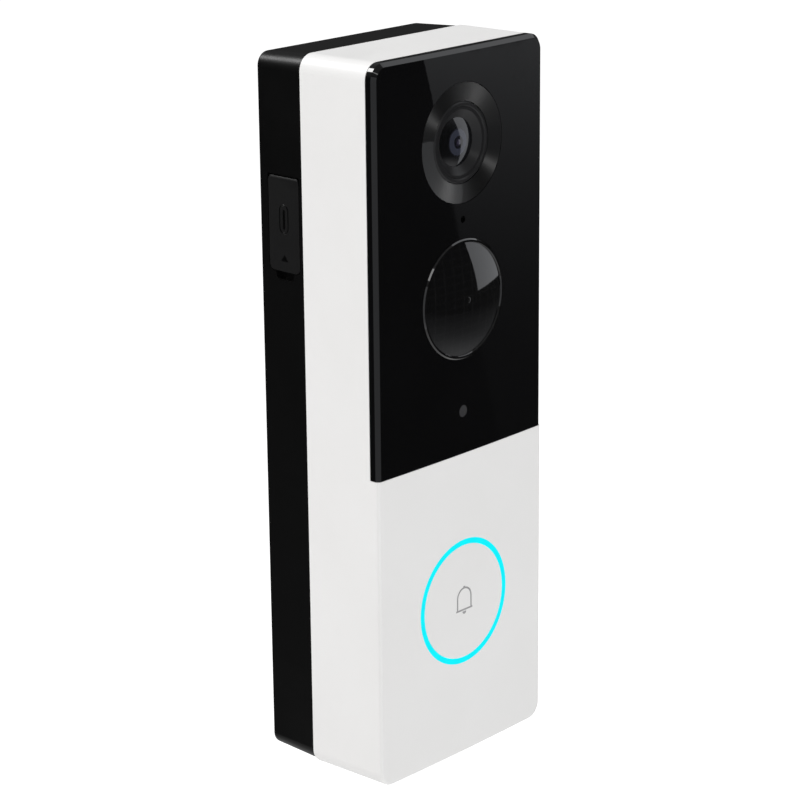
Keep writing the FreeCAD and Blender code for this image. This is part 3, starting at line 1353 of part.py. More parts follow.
def antenna_cable(aerial_x, board_front):
    """Thin lead from the aerial to the board: straight, one bend, straight, with a round plug."""
    radius = 0.5
    bend = 2.5
    height = 30.0
    start_depth = 12.0
    above_board = 0.1
    tail = 4.0
    lead_x = aerial_x.number - radius
    start = Vector(lead_x, start_depth, height)
    bend_start = Vector(lead_x, board_front.number - radius - above_board - bend, height)
    middle = Vector(lead_x - bend * (1 - math.sqrt(0.5)), bend_start.y + bend * math.sqrt(0.5), height)
    bend_end = Vector(lead_x - bend, bend_start.y + bend, height)
    end = Vector(bend_end.x - tail, bend_end.y, height)
    path = Part.Wire([Part.LineSegment(start, bend_start).toShape(),
                      Part.Arc(bend_start, middle, bend_end).toShape(),
                      Part.LineSegment(bend_end, end).toShape()])
    section = Part.Wire([Part.makeCircle(radius, start, Vector(0, 1, 0))])
    lead = path.makePipeShell([section], True, True)
    plug_radius = 1.3
    plug_top = 0.3
    plug_front = end.y - radius - plug_top
    plug = Part.makeCylinder(plug_radius, board_front.number - plug_front,
                             Vector(end.x - plug_radius + radius, plug_front, height),
                             Vector(0, 1, 0))
    item = doc.addObject("Part::Feature", "antenna_cable")
    item.Label = "antenna_cable"
    item.Shape = lead.fuse(plug).removeSplitter()
    place(item, 0, FRONT_Y, 0)
    return item


def charging_port():
    """Charging port, sync switch and sync button behind the flap."""
    pad_inside = side_x(PORT_AXIS_DEPTH) + S.pad_depth + S.port_set_back
    across = S.port_thickness / 2
    port_half = S.port_width / 2
    shell = new_body("usb_c_port", pad_inside, S.port_height)
    sketch = sketch_on(shell, "YZ_Plane", "port_outline")
    rectangle(sketch, PORT_AXIS_DEPTH - across, PORT_AXIS_DEPTH + across, -port_half, port_half,
              across - S.joint_gap)
    feature = shell.newObject("PartDesign::Pad", "port_shell_pad")
    feature.Profile = sketch
    bind(feature, "Length", S.port_length)
    check_change(shell, feature, 1)
    mouth = sketch_on(shell, "YZ_Plane", "port_mouth")
    thin = S.port_wall
    rectangle(mouth, PORT_AXIS_DEPTH - across + thin, PORT_AXIS_DEPTH + across - thin,
              -port_half + thin, port_half - thin, across - thin - S.joint_gap)
    tongue_half = S.port_tongue_half
    tongue_end = port_half - S.port_tongue_inset
    rectangle(mouth, PORT_AXIS_DEPTH - tongue_half, PORT_AXIS_DEPTH + tongue_half,
              -tongue_end, tongue_end)
    feature = shell.newObject("PartDesign::Pocket", "port_mouth_cut")
    feature.Profile = mouth
    feature.Reversed = True
    bind(feature, "Length", S.port_length - S.port_back_wall)
    check_change(shell, feature, -1)

    stem_end = S.pad_depth + S.sync_stem
    button = new_body("sync_button")
    tilt_to_side(button)
    sketch = sketch_on(button, "XZ_Plane", "sync_profile")
    cover_inside = S.cover_thickness + S.loose_gap
    button_front = cover_inside + S.fit_gap
    flange_front = S.pad_depth + S.fit_gap
    flange_back = flange_front + S.sync_flange
    flange_radius = S.sync_radius + S.sync_flange
    outline(sketch, [(button_front, 0), (button_front, S.sync_radius),
                     (flange_front, S.sync_radius), (flange_front, flange_radius),
                     (flange_back, flange_radius), (flange_back, S.sync_radius),
                     (stem_end, S.sync_radius), (stem_end, 0)])
    bind(sketch, ".AttachmentOffset.Base.y", S.sync_height - S.cover_middle)
    revolve(button, sketch)

    switch_x = side_x(PORT_AXIS_DEPTH) + stem_end + S.sync_travel + S.loose_gap
    switch = block("sync_switch", (switch_x, switch_x + S.sync_switch_length),
                   (MAIN_BOARD_BACK, MAIN_BOARD_BACK + S.port_thickness),
                   around(S.sync_height, S.sync_switch_height))
    return [shell, button, switch]


def port_cover():
    """Soft flap with its sealing plug, and the anchor that holds its hinge end."""
    half_width = S.cover_width / 2
    half_height = S.cover_height / 2
    knuckle = S.cover_thickness / 2
    cover = new_body("port_cover")
    tilt_to_side(cover)
    sketch = sketch_on(cover, "YZ_Plane", "cover_outline")
    rectangle(sketch, -half_width, half_width, -half_height, half_height, S.cover_corner)
    side_pad(cover, sketch, S.cover_thickness)
    sketch = sketch_on(cover, "XZ_Plane", "cover_hinge_round")
    # The hinge end is cut to a half round about the hinge axis.
    hinge_round(sketch, knuckle, half_height - knuckle, half_height + S.overcut)
    pocket(cover, sketch, both_ways=True)
    middle = S.port_height - S.cover_middle
    plug = sketch_on(cover, "YZ_Plane", "cover_plug", S.cover_thickness)
    across = S.port_hole_height / 2 - S.plug_gap
    along = S.port_hole_width / 2 - S.plug_gap
    rectangle(plug, -across, across, middle - along, middle + along,
              across - S.joint_gap)
    side_pad(cover, plug, S.plug_depth)

    low, high = anchor_heights()
    anchor = new_body("port_cover_anchor")
    tilt_to_side(anchor)
    seat = S.cover_thickness + S.loose_gap
    stem = sketch_on(anchor, "YZ_Plane", "anchor_stem", seat)
    play = S.joint_gap
    rectangle(stem, -anchor_half() + play, anchor_half() - play, low + play, high - play)
    side_pad(anchor, stem, S.pad_depth - seat + play)
    head = sketch_on(anchor, "YZ_Plane", "anchor_head", S.pad_depth + play)
    head_half = anchor_half() + S.anchor_head_side
    rectangle(head, -head_half, head_half, low - S.anchor_head_end, high + S.anchor_head_end)
    side_pad(anchor, head, S.anchor_head_thickness)
    return [cover, anchor]


def side_pad(body, sketch, length):
    """Add material inwards from a sketch on the YZ plane."""
    feature = body.newObject("PartDesign::Pad", sketch.Name + "_pad")
    feature.Profile = sketch
    bind(feature, "Length", length)
    return check_change(body, feature, 1)


def hinge_round(sketch, radius, axis, above):
    """The corner left over between a half round on the hinge axis and a square end."""
    low = axis
    centre = Vector(radius.number, low.number, 0)
    half_round = Part.ArcOfCircle(Part.Circle(centre, Vector(0, 0, 1), radius.number), 0, math.pi)
    geometry = [
        half_round,
        Part.LineSegment(Vector(2 * radius.number, low.number, 0),
                         Vector(3 * radius.number, low.number, 0)),
        Part.LineSegment(Vector(3 * radius.number, low.number, 0),
                         Vector(3 * radius.number, above.number, 0)),
        Part.LineSegment(Vector(3 * radius.number, above.number, 0),
                         Vector(-radius.number, above.number, 0)),
        Part.LineSegment(Vector(-radius.number, above.number, 0),
                         Vector(-radius.number, low.number, 0)),
        Part.LineSegment(Vector(-radius.number, low.number, 0), Vector(0, low.number, 0)),
    ]
    sketch.addGeometry(geometry)
    right = 1
    left = 2
    joins = [(0, right, 1, 1), (1, 2, 2, 1), (2, 2, 3, 1), (3, 2, 4, 1), (4, 2, 5, 1),
             (5, 2, 0, left)]
    for join_pair in joins:
        sketch.addConstraint(Sketcher.Constraint("Coincident", *join_pair))
    pin(sketch, 0, 3, radius, low)
    index = sketch.addConstraint(Sketcher.Constraint("Radius", 0, radius.number))
    sketch.setExpression("Constraints[%d]" % index, radius.text)
    pin(sketch, 2, 1, radius * 3, low)
    pin(sketch, 3, 1, radius * 3, above)
    pin(sketch, 4, 1, -radius, above)
    pin(sketch, 5, 1, -radius, low)
    sketch.addConstraint(Sketcher.Constraint("Horizontal", 1))
    sketch.addConstraint(Sketcher.Constraint("Horizontal", 5))


# ---------------------------------------------------------------- fasteners and bracket

def housing_screws():
    """Four like screws that hold the shells together."""
    seat = S.unit_depth - S.screw_sink
    screws = []
    for i, (x, z) in enumerate(screw_places()):
        screws.append(join("shell_screw_%d" % i, [
            rod("shell_shank_%d" % i, S.screw_radius, (S.screw_tip_depth, seat + S.joined_overlap), x, z),
            rod("shell_head_%d" % i, S.screw_head_radius,
                (seat, seat + S.screw_head_height), x, z)]))
    return group("housing_screws", screws)


def board_screws():
    """Like small screws that hold the inner boards."""
    small = S.small_screw_length
    rows = [
        (side_posts(S.camera_height), S.camera_board_depth + S.thin_board, 1),
        (side_posts(S.pir_height), S.pir_board_depth + S.thin_board, 1),
        (bar_posts(), S.bar_board_depth + S.bar_board_thickness, 1),
        (button_posts(), S.button_board_depth + S.thin_board, 1),
        (main_posts(), S.main_board_depth, -1),
    ]
    screws = []
    for places, seat, facing in rows:
        for x, z in places:
            i = len(screws)
            if facing > 0:
                shank = (seat - small, seat + S.joined_overlap)
                head = (seat, seat + S.small_head_height)
            else:
                shank = (seat - S.joined_overlap, seat + small)
                head = (seat - S.small_head_height, seat)
            screws.append(join("small_screw_%d" % i, [
                rod("small_shank_%d" % i, S.small_screw_radius, shank, x, z),
                rod("small_head_%d" % i, S.small_head_radius, head, x, z)]))
    return group("board_screws", screws)


def mounting_bracket():
    """Flat wall bracket with side tabs, countersunk screw holes and a window for the latch."""
    half_width = S.bracket_width / 2
    half_height = S.bracket_height / 2
    back = S.unit_depth + S.bracket_proud
    body = new_body("mounting_bracket")
    sketch = front_sketch(body, "bracket_outline", BRACKET_FRONT)
    rectangle(sketch, -half_width, half_width, -half_height, half_height, S.bracket_corner)
    pad(body, sketch, S.bracket_thickness)
    tabs = front_sketch(body, "bracket_tabs", BRACKET_FRONT)
    reach = half_width + S.tab_reach
    for tab in tab_heights():
        low, high = around(tab, S.tab_length)
        rectangle(tabs, -reach, reach, low, high)
    pad(body, tabs, S.tab_thickness)
    window = front_sketch(body, "latch_window", BRACKET_FRONT)
    half_window = S.latch_width / 2 + S.bracket_side_gap
    rectangle(window, -half_window, half_window,
              S.latch_top - S.latch_length - S.bracket_side_gap, S.latch_top + S.bracket_side_gap)
    pocket(body, window, S.bracket_thickness)
    holes = front_sketch(body, "wall_holes", back)
    for k in BOTH_SIDES:
        circle(holes, 0, S.hole_spacing / 2 * k, S.wall_hole_radius)
    pocket(body, holes, S.bracket_thickness, "front")
    doc.recompute()
    base = body.Tip
    rims = ["Edge%d" % (i + 1) for i, edge in enumerate(base.Shape.Edges)
            if in_plane(edge, BRACKET_FRONT) and len(edge.Vertexes) == 1
            and edge.BoundBox.XLength < S.sink_radius.number * 2]
    feature = body.newObject("PartDesign::Chamfer", "countersinks")
    feature.Base = (base, rims)
    bind(feature, "Size", S.sink_radius - S.wall_hole_radius)
    check_change(body, feature, -1)
    return body


def bracket_latch():
    """Spring tongue with a ramp that the unit's catch rib rides over."""
    back = S.unit_depth + S.bracket_proud - S.latch_retreat - S.latch_wall_gap
    leaf_front = back - S.latch_leaf
    foot = latch_foot()
    rib_back = RECESS_FLOOR + S.catch_height
    slope = S.latch_retreat / S.lift_travel
    ramp_foot = rib_back + S.fit_gap
    ramp_head = ramp_foot - slope * S.lift_travel
    head_z = foot + S.lift_travel
    body = new_body("bracket_latch")
    sketch = sketch_on(body, "YZ_Plane", "latch_profile", -S.latch_width / 2)
    bottom = S.latch_top - S.latch_length
    outline(sketch, [(back, bottom), (back, S.latch_top), (leaf_front, S.latch_top),
                     (leaf_front, head_z + S.latch_crest_top),
                     (ramp_head, head_z + S.latch_crest), (ramp_head, head_z), (ramp_foot, foot),
                     (leaf_front, foot - S.latch_foot_slope), (leaf_front, bottom)])
    side_pad(body, sketch, S.latch_width)
    return body


# ---------------------------------------------------------------- build and export

def build():
    """Make every sub-part."""
    parts = [front_housing(), rear_housing(), housing_gasket(), front_glass(), panel_adhesive(),
             status_light(), housing_screws(), board_screws(), mounting_bracket(),
             bracket_latch()]
    for make in (camera, motion_sensor, bar_board, bell_button, battery, speaker, main_board,
                 charging_port, port_cover):
        parts.extend(make())
    doc.recompute()
    return parts


def check_and_export(parts):
    """Stop on any failed object, and write each sub-part to its own file."""
    for item in doc.Objects:
        if "Invalid" in item.State or "Error" in item.State:
            raise ValueError("%s did not recompute: %s" % (item.Name, item.State))
    for item in parts:
        if item.Shape.isNull() or not item.Shape.isValid() or item.Shape.Volume <= 0:
            raise ValueError("%s has no valid shape" % item.Label)
    os.makedirs("parts", exist_ok=True)
    for item in parts:
        item.Shape.exportStep("parts/%s.step" % item.Label)
        print("%-20s %8.1f mm3" % (item.Label, item.Shape.Volume))


check_and_export(build())
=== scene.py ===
"""Video doorbell: finishes, printed marks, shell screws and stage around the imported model."""
import json
import math

import bmesh
import bpy
from bpy.props import FloatProperty, FloatVectorProperty, IntProperty, PointerProperty
from mathutils import Euler, Matrix, Vector


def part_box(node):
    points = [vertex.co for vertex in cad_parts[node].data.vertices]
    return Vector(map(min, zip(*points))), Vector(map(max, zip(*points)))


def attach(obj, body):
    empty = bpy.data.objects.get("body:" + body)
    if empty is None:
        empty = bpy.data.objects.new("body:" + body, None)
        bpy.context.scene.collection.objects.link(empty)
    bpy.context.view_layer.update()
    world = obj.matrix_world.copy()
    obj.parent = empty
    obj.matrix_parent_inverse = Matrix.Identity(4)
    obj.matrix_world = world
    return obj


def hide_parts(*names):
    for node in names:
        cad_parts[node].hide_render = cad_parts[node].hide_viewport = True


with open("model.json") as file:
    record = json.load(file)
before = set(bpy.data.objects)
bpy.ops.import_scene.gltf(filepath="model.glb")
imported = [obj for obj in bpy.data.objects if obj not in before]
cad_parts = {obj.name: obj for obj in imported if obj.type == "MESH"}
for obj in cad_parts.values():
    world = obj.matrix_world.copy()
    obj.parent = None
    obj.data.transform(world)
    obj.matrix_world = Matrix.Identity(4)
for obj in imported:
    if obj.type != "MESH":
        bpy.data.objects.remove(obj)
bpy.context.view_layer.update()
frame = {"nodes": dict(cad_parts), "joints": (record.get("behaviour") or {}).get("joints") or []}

bl_info = {
    "name": "Video Doorbell Finisher",
    "version": (1, 0, 0),
    "blender": (4, 5, 0),
    "location": "View3D > Sidebar > Doorbell",
    "description": "Builds the finishes and the fine pieces of a video doorbell",
    "category": "Object",
}

NODES = frame["nodes"]
MM = 0.001
FULL_TURN = 2 * math.pi
CROWN = 0.4 * MM
DOMES = {"pir_lens": (11.86 * MM, 1.0 * MM), "front_lens": (4.7 * MM, 0.75 * MM)}
CARD_DISTANCE = 0.9
TRIM_OUTER = 11.6 * MM
TRIM_BORE = 7.95 * MM
TRIM_DISH = 0.35 * MM
PUPIL_RADIUS = 1.25 * MM
IRIS_RADIUS = 2.75 * MM
# Share of the dust cells that stay clean, and the colours of dust
CLEAN_CELLS = 0.82
DUST = (0.35, 0.34, 0.32)
PANEL_DUST = (0.3, 0.3, 0.3)
# Shares of the bell's radius, then of the screw head's radius, its height and the recess
BELL_KNOB, BELL_CLAPPER, BELL_SOLE = 0.17, 0.27, 0.38
SCREW_CROWN, SCREW_SHOULDER, RECESS_TAPER = 0.85, 0.72, 0.55
SHANK_LENGTH = 6.0 * MM
SCREW_TURN = 1.4
FLOOR_SIDE = 6.0
SENSOR_WIDTH = 36.0


# ---------------- places read from the frame

def middle(node):
    """Centre of a node's box."""
    low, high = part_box(node)
    return (low + high) / 2


def front_of(node):
    """Y of a node's foremost point."""
    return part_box(node)[0].y


BUTTON = middle("button_cap")
LENS = middle("front_lens")
MOTION = middle("pir_lens")
PANEL_LOW, PANEL_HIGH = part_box("front_glass")


# ---------------- settings shown in the sidebar

def colour(name, description, default):
    """A linear colour setting."""
    return FloatVectorProperty(name=name, description=description, default=default,
                               subtype="COLOR", size=3, min=0.0, max=1.0)


def length(name, description, default):
    """A length setting, given in metres."""
    return FloatProperty(name=name, description=description, default=default, min=0.0,
                         subtype="DISTANCE", unit="LENGTH", precision=5)


def share(name, description, default):
    """A setting from nothing to all."""
    return FloatProperty(name=name, description=description, default=default,
                         min=0.0, max=1.0, subtype="FACTOR")


class ShellFinish(bpy.types.PropertyGroup):
    """Moulded plastic of the shells, the button and the wall bracket."""
    white: colour("White", "Front shell and button", (0.825, 0.822, 0.818))
    white_shade: colour("White shade", "Slow drift of the white", (0.81, 0.806, 0.80))
    black: colour("Black", "Rear shell, flap and bracket", (0.0017, 0.0017, 0.0018))
    black_shade: colour("Black shade", "Slow drift of the black", (0.0024, 0.0024, 0.0025))
    roughness: share("Roughness", "Spark eroded texture of the mould", 0.42)
    grain: length("Grain size", "One grain of the mould texture", 0.00016)
    grain_depth: length("Grain depth", "Depth of the mould texture", 0.000003)


class PanelFinish(bpy.types.PropertyGroup):
    """Dark front panel, motion lens and camera trim."""
    tint: colour("Tint", "Dark back print seen through the panel", (0.0022, 0.0022, 0.0024))
    smear: share("Smear", "How far wiping marks dull the gloss", 0.05)
    groove: length("Turned groove", "Pitch of the turned grooves on the camera trim", 0.00006)
    zone: length("Lens zone", "Pitch of the moulded zones behind the motion lens", 0.00155)


class LightFinish(bpy.types.PropertyGroup):
    """Lit ring around the button and the status light."""
    glow: colour("Glow", "Colour of the lit ring", (0.0, 0.905, 1.0))
    strength: FloatProperty(name="Strength", description="Brightness of the lit ring",
                            default=1.0, min=0.0)
    unevenness: share("Unevenness", "Fall between two lights behind the ring", 0.05)
    lights: IntProperty(name="Lights", description="Lights behind the ring", default=16, min=1)


class MarkSizes(bpy.types.PropertyGroup):
    """Printed bell sign and the marks on the port flap."""
    stroke: length("Stroke", "Width of the bell's lines", 0.00036)
    bell_radius: length("Bell radius", "Half width of the bell", 0.00205)
    bell_height: length("Bell height", "Knob to clapper", 0.0057)
    bell_offset: FloatProperty(name="Bell offset", description="Bell above the button's axis",
                               default=0.0003, subtype="DISTANCE", unit="LENGTH", precision=5)
    sole_overhang: length("Sole overhang", "Base line beyond the bell's side", 0.00042)
    thickness: length("Thickness", "Height of the printed marks", 0.00002)
    ink: colour("Ink", "Colour of the bell", (0.36, 0.36, 0.365))
    flap_ink: colour("Flap ink", "Colour of the marks on the flap", (0.0012, 0.0012, 0.0012))


class FastenerSizes(bpy.types.PropertyGroup):
    """Screws that close the shells."""
    head_radius: length("Head radius", "Screw head", 0.0019)
    head_height: length("Head height", "Screw head", 0.0016)
    shank_radius: length("Shank radius", "Screw shank", 0.001)
    recess: length("Recess", "Half length of the cross recess", 0.0011)
    recess_width: length("Recess width", "Width of the cross recess", 0.00052)
    recess_depth: length("Recess depth", "Depth of the cross recess", 0.0008)


class StageSettings(bpy.types.PropertyGroup):
    """Camera, floor and lights."""
    eye: FloatVectorProperty(name="Eye", description="Place of the camera",
                             default=(-0.381087, -0.356117, 0.153610), size=3,
                             subtype="TRANSLATION", unit="LENGTH")
    aim: FloatVectorProperty(name="Aim", description="Turn of the camera", size=3,
                             default=(math.radians(73.2427), math.radians(0.56516),
                                      math.radians(-48.3115)),
                             subtype="EULER", unit="ROTATION")
    focal: FloatProperty(name="Focal length", description="Focal length in millimetres",
                         default=120.98, min=1.0)
    floor_drop: length("Floor drop", "Floor below the middle of the unit", 0.34)
    ambient: FloatProperty(name="Ambient", description="Even light from all round",
                           default=1.031, min=0.0)
    gloss_level: FloatProperty(name="Gloss level", default=0.02, min=0.0,
                               description="Surroundings level with the unit, as gloss shows them")
    gloss_above: FloatProperty(name="Gloss above", default=0.26, min=0.0,
                               description="Ceiling, as gloss shows it")
    gloss_below: FloatProperty(name="Gloss below", default=0.9, min=0.0,
                               description="Ground close to the unit, as gloss shows it")


# ---------------- building node trees

def wire(tree, kind, inputs=(), **settings):
    """Adds a node, applies its settings, and links or fills its inputs."""
    made = tree.nodes.new(kind)
    for name, value in settings.items():
        setattr(made, name, value)
    for name, value in dict(inputs).items():
        socket = made.inputs[name]
        if isinstance(value, bpy.types.NodeSocket):
            tree.links.new(value, socket)
        else:
            socket.default_value = value
    return made


def feed(tree, shader, **sockets):
    """Links sockets to a shader's inputs. Underscores stand for spaces."""
    for name, socket in sockets.items():
        tree.links.new(socket, shader.inputs[name.replace("_", " ")])


def calc(tree, operation, *values):
    """Output of a math node."""
    return wire(tree, "ShaderNodeMath", enumerate(values), operation=operation).outputs[0]


def vector_calc(tree, operation, *values):
    """Output of a vector math node."""
    return wire(tree, "ShaderNodeVectorMath", enumerate(values), operation=operation).outputs[0]


def spread(tree, value, low, high, to_low=0.0, to_high=1.0, smooth=False):
    """Output of a map range node."""
    return wire(tree, "ShaderNodeMapRange", {
        "Value": value, "From Min": low, "From Max": high, "To Min": to_low, "To Max": to_high},
        interpolation_type="SMOOTHSTEP" if smooth else "LINEAR").outputs[0]


def blend(tree, factor, first, second):
    """Mixes two colours. Each is a socket or three numbers."""
    made = tree.nodes.new("ShaderNodeMix")
    made.data_type = "RGBA"
    for index, value in ((0, factor), (6, first), (7, second)):
        if isinstance(value, bpy.types.NodeSocket):
            tree.links.new(value, made.inputs[index])
        elif index:
            made.inputs[index].default_value = (*value, 1.0)
        else:
            made.inputs[index].default_value = value
    return made.outputs[2]


def shader_group(name, inputs, outputs, fill):
    """A shader node group with named inputs and outputs, filled by a function."""
    tree = bpy.data.node_groups.new(name, "ShaderNodeTree")
    for label, value in inputs.items():
        kind = "NodeSocketFloat" if isinstance(value, float) else "NodeSocketVector"
        made = tree.interface.new_socket(name=label, in_out="INPUT", socket_type=kind)
        made.default_value = value
    for label in outputs:
        tree.interface.new_socket(name=label, in_out="OUTPUT", socket_type="NodeSocketFloat")
    source = tree.nodes.new("NodeGroupInput").outputs
    target = tree.nodes.new("NodeGroupOutput")
    for label, socket in fill(tree, source).items():
        tree.links.new(socket, target.inputs[label])
    return tree


def place(tree, group, **inputs):
    """Outputs of a group placed in a material. Underscores stand for spaces."""
    made = tree.nodes.new("ShaderNodeGroup")
    made.node_tree = group
    for name, value in inputs.items():
        made.inputs[name.replace("_", " ")].default_value = value
    return made.outputs


def noise(tree, vector, scale, detail=2.0, roughness=0.55, distortion=0.0, dimensions="3D"):
    """Noise value between 0 and 1."""
    inputs = {"Scale": scale, "Detail": detail, "Roughness": roughness,
              "Distortion": distortion}
    inputs["W" if dimensions == "1D" else "Vector"] = vector
    return wire(tree, "ShaderNodeTexNoise", inputs, noise_dimensions=dimensions).outputs[0]


def object_place(tree):
    """Object coordinates, which are the frame's own because every object sits at the origin."""
    return tree.nodes.new("ShaderNodeTexCoord").outputs["Object"]


def from_centre(tree, centre):
    """Object coordinates counted from a centre."""
    return vector_calc(tree, "SUBTRACT", object_place(tree), centre)


def scaled(tint, factor):
    """A colour times a factor."""
    return [part * factor for part in tint]


# ---------------- effects that materials share

def fill_moulded(tree, source):
    """Spark eroded texture with a slow drift of the pigment."""
    here = object_place(tree)
    fine = noise(tree, here, calc(tree, "DIVIDE", 1.0, source["Grain Size"]), 3.0, 0.6)
    cloud = noise(tree, here, calc(tree, "DIVIDE", 1.0, source["Cloud Size"]), 3.0, 0.5, 0.4)
    return {"Height": fine, "Cloud": spread(tree, cloud, 0.3, 0.7)}


def fill_handling(tree, source):
    """Soft smears and a few specks of dust, as masks."""
    here = object_place(tree)
    smear = noise(tree, here, calc(tree, "DIVIDE", 1.0, source["Smear Size"]), 4.0, 0.6, 1.2)
    cells = wire(tree, "ShaderNodeTexVoronoi", {
        "Vector": here, "Scale": calc(tree, "DIVIDE", 1.0, source["Dust Spacing"])})
    speck = calc(tree, "LESS_THAN", cells.outputs["Distance"], source["Dust Radius"])
    chosen = calc(tree, "GREATER_THAN", wire(tree, "ShaderNodeSeparateColor", {
        "Color": cells.outputs["Color"]}).outputs[0], CLEAN_CELLS)
    return {"Smear": spread(tree, smear, 0.42, 0.72, smooth=True),
            "Dust": calc(tree, "MULTIPLY", speck, chosen)}


def fill_turned(tree, source):
    """Circular grooves about an axis along Y, and the distance and angle about it."""
    split = wire(tree, "ShaderNodeSeparateXYZ", {0: from_centre(tree, source["Centre"])}).outputs
    squares = [calc(tree, "MULTIPLY", split[axis], split[axis]) for axis in "XZ"]
    radius = calc(tree, "SQRT", calc(tree, "ADD", *squares))
    groove = noise(tree, calc(tree, "DIVIDE", radius, source["Pitch"]), 1.0, 2.0, 0.7,
                   dimensions="1D")
    return {"Height": groove, "Radius": radius,
            "Angle": calc(tree, "ARCTAN2", split["Z"], split["X"])}


def make_groups():
    """Builds the shared effects once."""
    return {
        "moulded": shader_group("moulded_texture", {"Grain Size": 0.00016, "Cloud Size": 0.02},
                                ("Height", "Cloud"), fill_moulded),
        "handling": shader_group(
            "handling_marks", {"Smear Size": 0.018, "Dust Spacing": 0.0024, "Dust Radius": 0.03},
            ("Smear", "Dust"), fill_handling),
        "turned": shader_group("turned_grooves", {"Centre": (0.0, 0.0, 0.0), "Pitch": 0.00006},
                               ("Height", "Radius", "Angle"), fill_turned),
    }


GROUPS = {}


# ---------------- materials

def new_material(name):
    """An empty material and its shader."""
    made = bpy.data.materials.new(name)
    made.use_nodes = True
    shader = made.node_tree.nodes["Principled BSDF"]
    return made, made.node_tree, shader


def set_plain(shader, **values):
    """Values that are the same all over go on the shader's own sockets."""
    for name, value in values.items():
        socket = shader.inputs[name.replace("_", " ")]
        socket.default_value = (*value, 1.0) if hasattr(value, "__len__") else value


def bump(tree, shader, height, depth, strength=1.0):
    """Bump feeding the shader's normal. Depth is the height of a full step."""
    made = wire(tree, "ShaderNodeBump", {"Height": height, "Distance": depth,
                                         "Strength": strength})
    feed(tree, shader, Normal=made.outputs[0])


def smeared(tree, marks, clean, dull):
    """Roughness that goes from clean to dull under the smears."""
    return spread(tree, marks["Smear"], 0.0, 1.0, clean, dull)


def moulded_plastic(name, first, second, roughness, grain, depth, dust=0.0, **plain):
    """Textured moulded plastic: grain in the gloss, drift in the colour, smears and dust."""
    made, tree, shader = new_material(name)
    texture = place(tree, GROUPS["moulded"], Grain_Size=grain)
    marks = place(tree, GROUPS["handling"])
    shade = blend(tree, texture["Cloud"], first, second)
    specks = calc(tree, "MULTIPLY", marks["Dust"], dust)
    worn = smeared(tree, marks, roughness, roughness * 0.86)
    rough = calc(tree, "ADD", worn, calc(tree, "MULTIPLY", texture["Height"], 0.06))
    feed(tree, shader, Base_Color=blend(tree, specks, shade, DUST), Roughness=rough)
    bump(tree, shader, texture["Height"], depth)
    set_plain(shader, **plain)
    return made


def polished_panel(name, tint, smear, **plain):
    """Polished dark panel: even depth under a gloss that wiping has dulled in places."""
    gloss, wave = 0.012, 0.0000004
    made, tree, shader = new_material(name)
    marks = place(tree, GROUPS["handling"], Smear_Size=0.024, Dust_Spacing=0.0031,
                  Dust_Radius=0.022)
    texture = place(tree, GROUPS["moulded"], Grain_Size=0.0009, Cloud_Size=0.03)
    deep = blend(tree, texture["Cloud"], tint, scaled(tint, 1.3))
    specks = calc(tree, "MULTIPLY", marks["Dust"], 0.02)
    feed(tree, shader, Base_Color=blend(tree, specks, deep, PANEL_DUST),
         Roughness=smeared(tree, marks, gloss, gloss + smear))
    bump(tree, shader, texture["Height"], wave)
    set_plain(shader, **plain)
    return made


def turned_trim(name, base, centre, pitch, roughness, depth, **plain):
    """Lathe turned trim: fine circular grooves that draw highlights out along the radius."""
    made, tree, shader = new_material(name)
    rings = place(tree, GROUPS["turned"], Centre=centre, Pitch=pitch)
    marks = place(tree, GROUPS["handling"])
    radial = vector_calc(tree, "MULTIPLY", from_centre(tree, centre), (1.0, 0.0, 1.0))
    feed(tree, shader, Base_Color=blend(tree, rings["Height"], base, scaled(base, 1.5)),
         Roughness=smeared(tree, marks, roughness, roughness + 0.05),
         Tangent=vector_calc(tree, "NORMALIZE", radial))
    bump(tree, shader, rings["Height"], depth)
    set_plain(shader, **plain)
    return made


def motion_lens_finish(name, tint, zone):
    """Dark polished dome with oblong lens zones moulded behind a clear skin."""
    made, tree, shader = new_material(name)
    split = wire(tree, "ShaderNodeSeparateXYZ", {0: from_centre(tree, tuple(MOTION))}).outputs
    keep_positive = 100.5
    ridges = []
    for axis, pitch in (("X", zone * 1.6), ("Z", zone)):
        count = calc(tree, "DIVIDE", split[axis], pitch)
        turn = calc(tree, "FRACT", calc(tree, "ADD", count, keep_positive))
        ridges.append(calc(tree, "ABSOLUTE", calc(tree, "SUBTRACT", turn, 0.5)))
    valley = calc(tree, "MAXIMUM", *ridges)
    edge = spread(tree, valley, 0.44, 0.5, smooth=True)
    marks = place(tree, GROUPS["handling"])
    feed(tree, shader, Base_Color=blend(tree, edge, tint, scaled(tint, 2.4)),
         Roughness=smeared(tree, marks, 0.03, 0.06))
    bump(tree, shader, valley, 0.00001, 0.35)
    set_plain(shader, Coat_Weight=1.0, Coat_Roughness=0.004, Specular_IOR_Level=0.2, IOR=1.5)
    return made


def lit_guide(name, light):
    """Clear light guide, a little brighter over each of the lights behind it."""
    made, tree, shader = new_material(name)
    rings = place(tree, GROUPS["turned"], Centre=tuple(BUTTON), Pitch=0.0003)
    wave = calc(tree, "COSINE", calc(tree, "MULTIPLY", rings["Angle"], float(light.lights)))
    level = spread(tree, wave, -1.0, 1.0, 1.0 - light.unevenness, 1.0)
    feed(tree, shader, Emission_Color=blend(tree, level, (0.0, 0.0, 0.0), light.glow),
         Base_Color=blend(tree, rings["Height"], (0.0, 0.02, 0.025), (0.0, 0.03, 0.035)))
    set_plain(shader, Emission_Strength=light.strength, Roughness=0.35)
    return made


